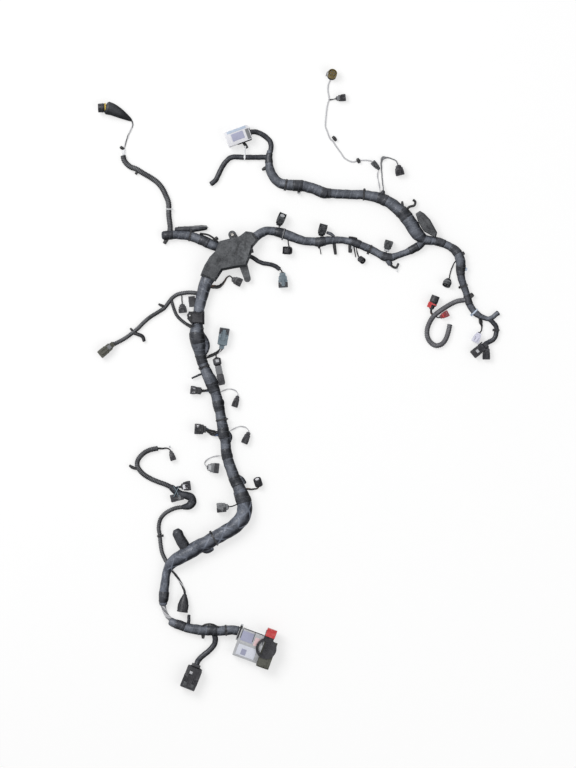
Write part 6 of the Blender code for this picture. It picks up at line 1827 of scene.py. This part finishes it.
@dataclass
class ControlUnit:
    """The large connector at the bottom: small parts on its cover, housing, lever and lock."""

    top: float = 35.4
    housing_start: float = 67.3
    housing_length: float = 31.0
    housing_side: float = 4.8
    housing_width: float = 66.0
    housing_low: float = 4.3
    housing_high: float = 36.0
    pin_columns: int = 14
    pin_rows: int = 5
    pivot: Point = (76.3, -14.6)
    cheek_top: float = 39.3
    bar_reach: float = 32.5
    bar_depth: float = 8.5

    def matrix(self) -> Matrix:
        """Gives the unit's own frame."""
        return Matrix.Translation(board(*UNIT_PLACE)) @ Matrix.Rotation(UNIT_TURN, 4, "Z")

    def part(self, centre: Point, size: Point, finish: Finish, soft: float = 0.3) -> Piece:
        """Models one small box in the unit's frame, with a sunk top.

        Args:
            centre: The place of its middle.
            size: Its size.
            finish: The finish.
            soft: The width of its rounded edges in millimetres.

        Returns:
            The box.
        """
        piece = Bench.box(tuple(v * MM for v in centre), tuple(v * MM for v in size), finish)
        Bench.pick(piece, (0, 0, 1))
        bpy.ops.mesh.inset(thickness=0.12 * min(size[0], size[1]) * MM, depth=-0.08 * size[2] * MM)
        return Bench.bevel(piece, soft * MM)

    def put(self, name: str, parts: list, body: str) -> None:
        """Joins parts, moves them to the unit's place and puts them on a body."""
        settle(Bench.place(Bench.join(name, parts), self.matrix()), body)

    def build_cover(self) -> None:
        """Adds blank labels, ribs, screws and a strap to the wire cover."""
        top = self.top
        labels = [
            self.part((25.0, -4.0, top + 0.15), (30.0, 24.0, 0.6), LABEL, 0.1),
            self.part((51.0, -8.0, top + 0.15), (15.0, 20.0, 0.6), PINK_LABEL, 0.1),
        ]
        self.put("unit_cover_labels", labels, "harness")
        ribs = [
            self.part((x, 0.0, top + 0.3), (1.6, 22.0, 1.4), DARK_GREY)
            for x in (9.0, 39.5, 64.0)
        ]
        ribs += [self.part((36.0, 12.2, 8.0 + 7.0 * k), (48.0, 1.0, 1.8), DARK_GREY) for k in range(4)]
        self.put("unit_cover_ribs", ribs, "harness")
        screws = []
        for x in (10.5, 62.5):
            head = Bench.drum((x * MM, 12.6 * MM, 24 * MM), 2.6 * MM, 2.0 * MM, TIN, 16)
            Bench.pick(head, (1, 0, 0))
            bpy.ops.mesh.inset(thickness=1.0 * MM, depth=-0.6 * MM)
            screws.append(Bench.bevel(head, 0.2 * MM))
        self.put("unit_cover_screws", screws, "harness")
        slope = math.atan2(self.top - 24.0, 57.0 - 20.0)
        label = self.part((0, 0, 0), (46.0, 28.0, 0.6), WHITE_LABEL, 0.1)
        patch = self.part((-6.0, -3.0, 0.5), (12.0, 15.0, 0.4), LABEL, 0.1)
        piece = Bench.join("unit_slope_labels", [label, patch])
        tilt = Matrix.Rotation(slope, 4, "X")
        place = Matrix.Translation(Vector((34.0, -38.5, 29.9)) * MM)
        settle(Bench.place(piece, self.matrix() @ place @ tilt), "harness")
        strap = [self.part((3.0, 0.0, 33.6), (3.6, 30.0, 1.6), BLACK_NYLON),
                 self.part((3.0, 14.0, 34.4), (6.0, 7.0, 4.0), BLACK_NYLON, 0.6)]
        self.put("unit_collar_strap", strap, "harness")

    def build_housing(self) -> None:
        """Adds dark slabs as painted shade for the terminal openings, and the outer ribs of the housing."""
        end = self.housing_start + self.housing_length
        middle_y = self.housing_side - self.housing_width / 2
        middle_z = (self.housing_low + self.housing_high) / 2
        span_y, span_z = self.housing_width - 12.0, self.housing_high - self.housing_low - 12.0
        painted_shade_holes = []
        for column in range(self.pin_columns):
            for row in range(self.pin_rows):
                y = middle_y + ((column + 0.5) / self.pin_columns - 0.5) * span_y
                z = middle_z + ((row + 0.5) / self.pin_rows - 0.5) * span_z
                # Each dark slab stands for a terminal opening as painted shade
                painted_shade_holes.append(Bench.box(((end - 0.75) * MM, y * MM, z * MM),
                                       (0.5 * MM, 2.2 * MM, 2.2 * MM), RUBBER))
        self.put("unit_terminal_openings", painted_shade_holes, "harness")
        ribs = []
        for level in (12.0, 20.0, 28.0):
            centre = (self.housing_start + 15.0, self.housing_side - self.housing_width - 0.3, level)
            ribs.append(self.part(centre, (24.0, 1.0, 1.6), OLIVE))
        for along in (94.0, 89.0):
            ribs.append(self.part((along, -48.0, self.housing_high + 0.2), (2.0, 20.0, 1.0), OLIVE))
        self.put("unit_housing_ribs", ribs, "harness")

    def build_lever(self) -> None:
        """Adds the pivot cap to the lever and the grip ridges to the lock."""
        px, py = self.pivot
        cap = Bench.box((px * MM, py * MM, (self.cheek_top + 0.4) * MM), (7 * MM, 7 * MM, 1.0 * MM), BLACK)
        Bench.pick(cap, (0, 0, 1))
        bpy.ops.mesh.inset(thickness=1.4 * MM, depth=-0.3 * MM)
        self.put("lever_pivot_cap", [Bench.bevel(cap, 1.2 * MM, 3)], "lever")
        ridge_z = self.cheek_top + 3.3
        ridges = []
        for k in range(5):
            x = px - 10.5 + 4.8 * k
            y = py + self.bar_reach + self.bar_depth + 3.4
            ridges.append(self.part((x, y, ridge_z), (2.0, 6.0, 0.9), RED, 0.2))
        self.put("lock_grip_ridges", ridges, "lock")

    def build(self) -> None:
        """Makes the unit's small parts."""
        self.build_cover()
        self.build_housing()
        self.build_lever()


@dataclass
class Covers:
    """The moulded covers and the bracket: kept solids with softened edges, and small parts."""

    edge: float = 0.9 * MM
    kept: dict = field(default_factory=lambda: {
        "hub_cover": DARK_GREY, "junction_cover": DARK_GREY, "trunk_bracket": BLACK,
        "unit_cover": PALE_GREY, "unit_housing": OLIVE, "unit_lever": BLACK, "unit_lock": RED,
    })

    def soften(self, piece: Piece, finish: Finish) -> None:
        """Welds a solid's loose triangles and rounds its edges, with modifiers only.

        Args:
            piece: The piece.
            finish: The finish.
        """
        weld = piece.modifiers.new("weld", "WELD")
        weld.merge_threshold = 0.01 * MM
        bevel = piece.modifiers.new("softened_edges", "BEVEL")
        bevel.width = self.edge
        bevel.segments = 2
        bevel.limit_method = "ANGLE"
        bevel.angle_limit = SOLID_ANGLE
        dress(piece, finish)
        log.info("%s: kept, with %s", piece.name, finish.name)

    def build(self) -> None:
        """Dresses the kept solids and adds the hub cover's ribs, screw and clips."""
        for name, finish in self.kept.items():
            self.soften(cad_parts[name], finish)
        ribs = (((229, 252, 34.4), 26, 62), ((237, 249, 34.4), 30, 75), ((245, 246, 34.4), 26, 85),
                ((219, 262, 34.4), 22, 50))
        for number, (place, length, turn) in enumerate(ribs, 1):
            Block(f"hub_rib_{number}", DARK_GREY, place, (length, 2.4, 2), turn,
                slot="cover_plastic").build()
        for block in (
            Block("hub_latch_left", BLACK, (213.4, 256.4, 18), (8, 5, 8), 40),
            Block("hub_latch_right", BLACK, (252.4, 251, 18), (5, 9, 8), 12),
            Block("hub_ear_screw", TIN, (232.2, 234.4, 10.6), (6.4, 6.4, 2.6), 20),
            Block("junction_rib_1", BLACK, (424.6, 221, 26.6), (16, 2, 1.8), -50, slot="dark_grey_plastic"),
            Block("junction_rib_2", BLACK, (428.4, 228, 26.6), (14, 2, 1.8), -50, slot="dark_grey_plastic"),
            Block("bracket_rib", BLACK, (198.8, 318, 27.6), (22, 3, 2), 90),
        ):
            block.build()


@dataclass
class Studio:
    """The camera, the floor and the lights."""

    floor_size: float = 14.0
    floor_colour: Point = (0.97, 0.97, 0.97)
    floor_glow: float = 0.6
    key_power: float = 120.0
    fill_power: float = 45.0
    sky: float = 0.5

    def camera(self) -> None:
        """Adds the camera, straight above the board."""
        data = bpy.data.cameras.new("camera")
        data.lens = CAMERA_LENS
        data.sensor_fit = "VERTICAL"
        data.sensor_height = CAMERA_SENSOR
        data.clip_end = 60.0
        eye = bpy.data.objects.new("camera", data)
        eye.location = (CAMERA_X, CAMERA_Y, CAMERA_HEIGHT)
        bpy.context.scene.collection.objects.link(eye)
        bpy.context.scene.camera = eye

    def floor(self) -> None:
        """Adds the pale floor, which keeps the harness's soft shadow."""
        Bench.clear()
        bpy.ops.mesh.primitive_plane_add(size=self.floor_size, location=(0, 0, -FLOOR_DROP))
        plane = bpy.context.active_object
        plane.name = "floor"
        made = bpy.data.materials.new("pale_floor")
        made.use_nodes = True
        tree = made.node_tree
        shader = tree.nodes["Principled BSDF"]
        shader.inputs["Roughness"].default_value = 0.9
        shader.inputs["Specular IOR Level"].default_value = 0.1
        speckle = Shading.noise(tree, 30.0, 2.0)
        shade = tuple(0.985 * value for value in self.floor_colour)
        tree.links.new(Shading.blend(tree, speckle, shade, self.floor_colour), shader.inputs["Base Color"])
        glow = tree.nodes.new("ShaderNodeEmission")
        glow.inputs["Color"].default_value = (1.0, 1.0, 1.0, 1.0)
        glow.inputs["Strength"].default_value = 1.0
        path = tree.nodes.new("ShaderNodeLightPath")
        mix = tree.nodes.new("ShaderNodeMixShader")
        seen = Shading.math(tree, "MULTIPLY", path.outputs["Is Camera Ray"], self.floor_glow)
        tree.links.new(seen, mix.inputs[0])
        tree.links.new(shader.outputs[0], mix.inputs[1])
        tree.links.new(glow.outputs[0], mix.inputs[2])
        tree.links.new(mix.outputs[0], tree.nodes["Material Output"].inputs["Surface"])
        plane.data.materials.append(made)

    def lamp(self, name: str, place: Point, size: float, power: float) -> None:
        """Adds one square softbox that faces the middle of the harness.

        Args:
            name: Its name.
            place: Its place.
            size: Its size.
            power: Its power in watts.
        """
        data = bpy.data.lights.new(name, "AREA")
        data.shape = "SQUARE"
        data.size = size
        data.energy = power
        lamp = bpy.data.objects.new(name, data)
        lamp.location = place
        lamp.rotation_euler = (-Vector(place)).to_track_quat("-Z", "Y").to_euler()
        bpy.context.scene.collection.objects.link(lamp)

    def build(self) -> None:
        """Makes the studio."""
        self.floor()
        self.lamp("key_softbox", (-2.2, 2.0, 3.6), 2.4, self.key_power)
        self.lamp("fill_softbox", (2.6, -1.4, 3.2), 3.0, self.fill_power)
        world = bpy.data.worlds.new("studio")
        world.use_nodes = True
        background = world.node_tree.nodes["Background"]
        background.inputs["Color"].default_value = (1.0, 1.0, 1.0, 1.0)
        path = world.node_tree.nodes.new("ShaderNodeLightPath")
        extra = Shading.math(world.node_tree, "MULTIPLY", path.outputs["Is Camera Ray"], 1 - self.sky)
        level = Shading.math(world.node_tree, "ADD", extra, self.sky)
        world.node_tree.links.new(level, background.inputs["Strength"])
        bpy.context.scene.world = world
        bpy.context.scene.view_settings.view_transform = "Standard"


def main() -> None:
    """Builds the dressed harness in order: camera, connectors, leads, bundles, covers and studio."""
    studio = Studio()
    studio.camera()
    runs, trunk, leads = UpperRuns(), Trunk(), Leads()
    lines = {lead.name: lead.run for lead in leads.listed()}
    Connectors().build(runs, trunk, lines)
    ControlUnit().build()
    Covers().build()
    leads.build()
    for tie in (
        CableTie("upper_white_tie", WHITE_NYLON, lines["upper_left_lead"], (168.5, 209.0), 60.0,
                 2.2 * MM),
        CableTie("top_branch_white_tie", WHITE_NYLON, lines["top_branch_lead"], (244.6, 157.0), 0.0,
                 3.0 * MM),
        CableTie("lower_left_tie", BLACK_NYLON, lines["lower_left_lead"], (159.6, 536.0), 60.0),
        CableTie("right_end_tie", BLACK_NYLON, lines["right_end_lead"], (496.5, 330.0), 60.0),
    ):
        tie.build()
    trunk.build()
    runs.build()
    studio.build()


if __name__ == "__main__":
    main()
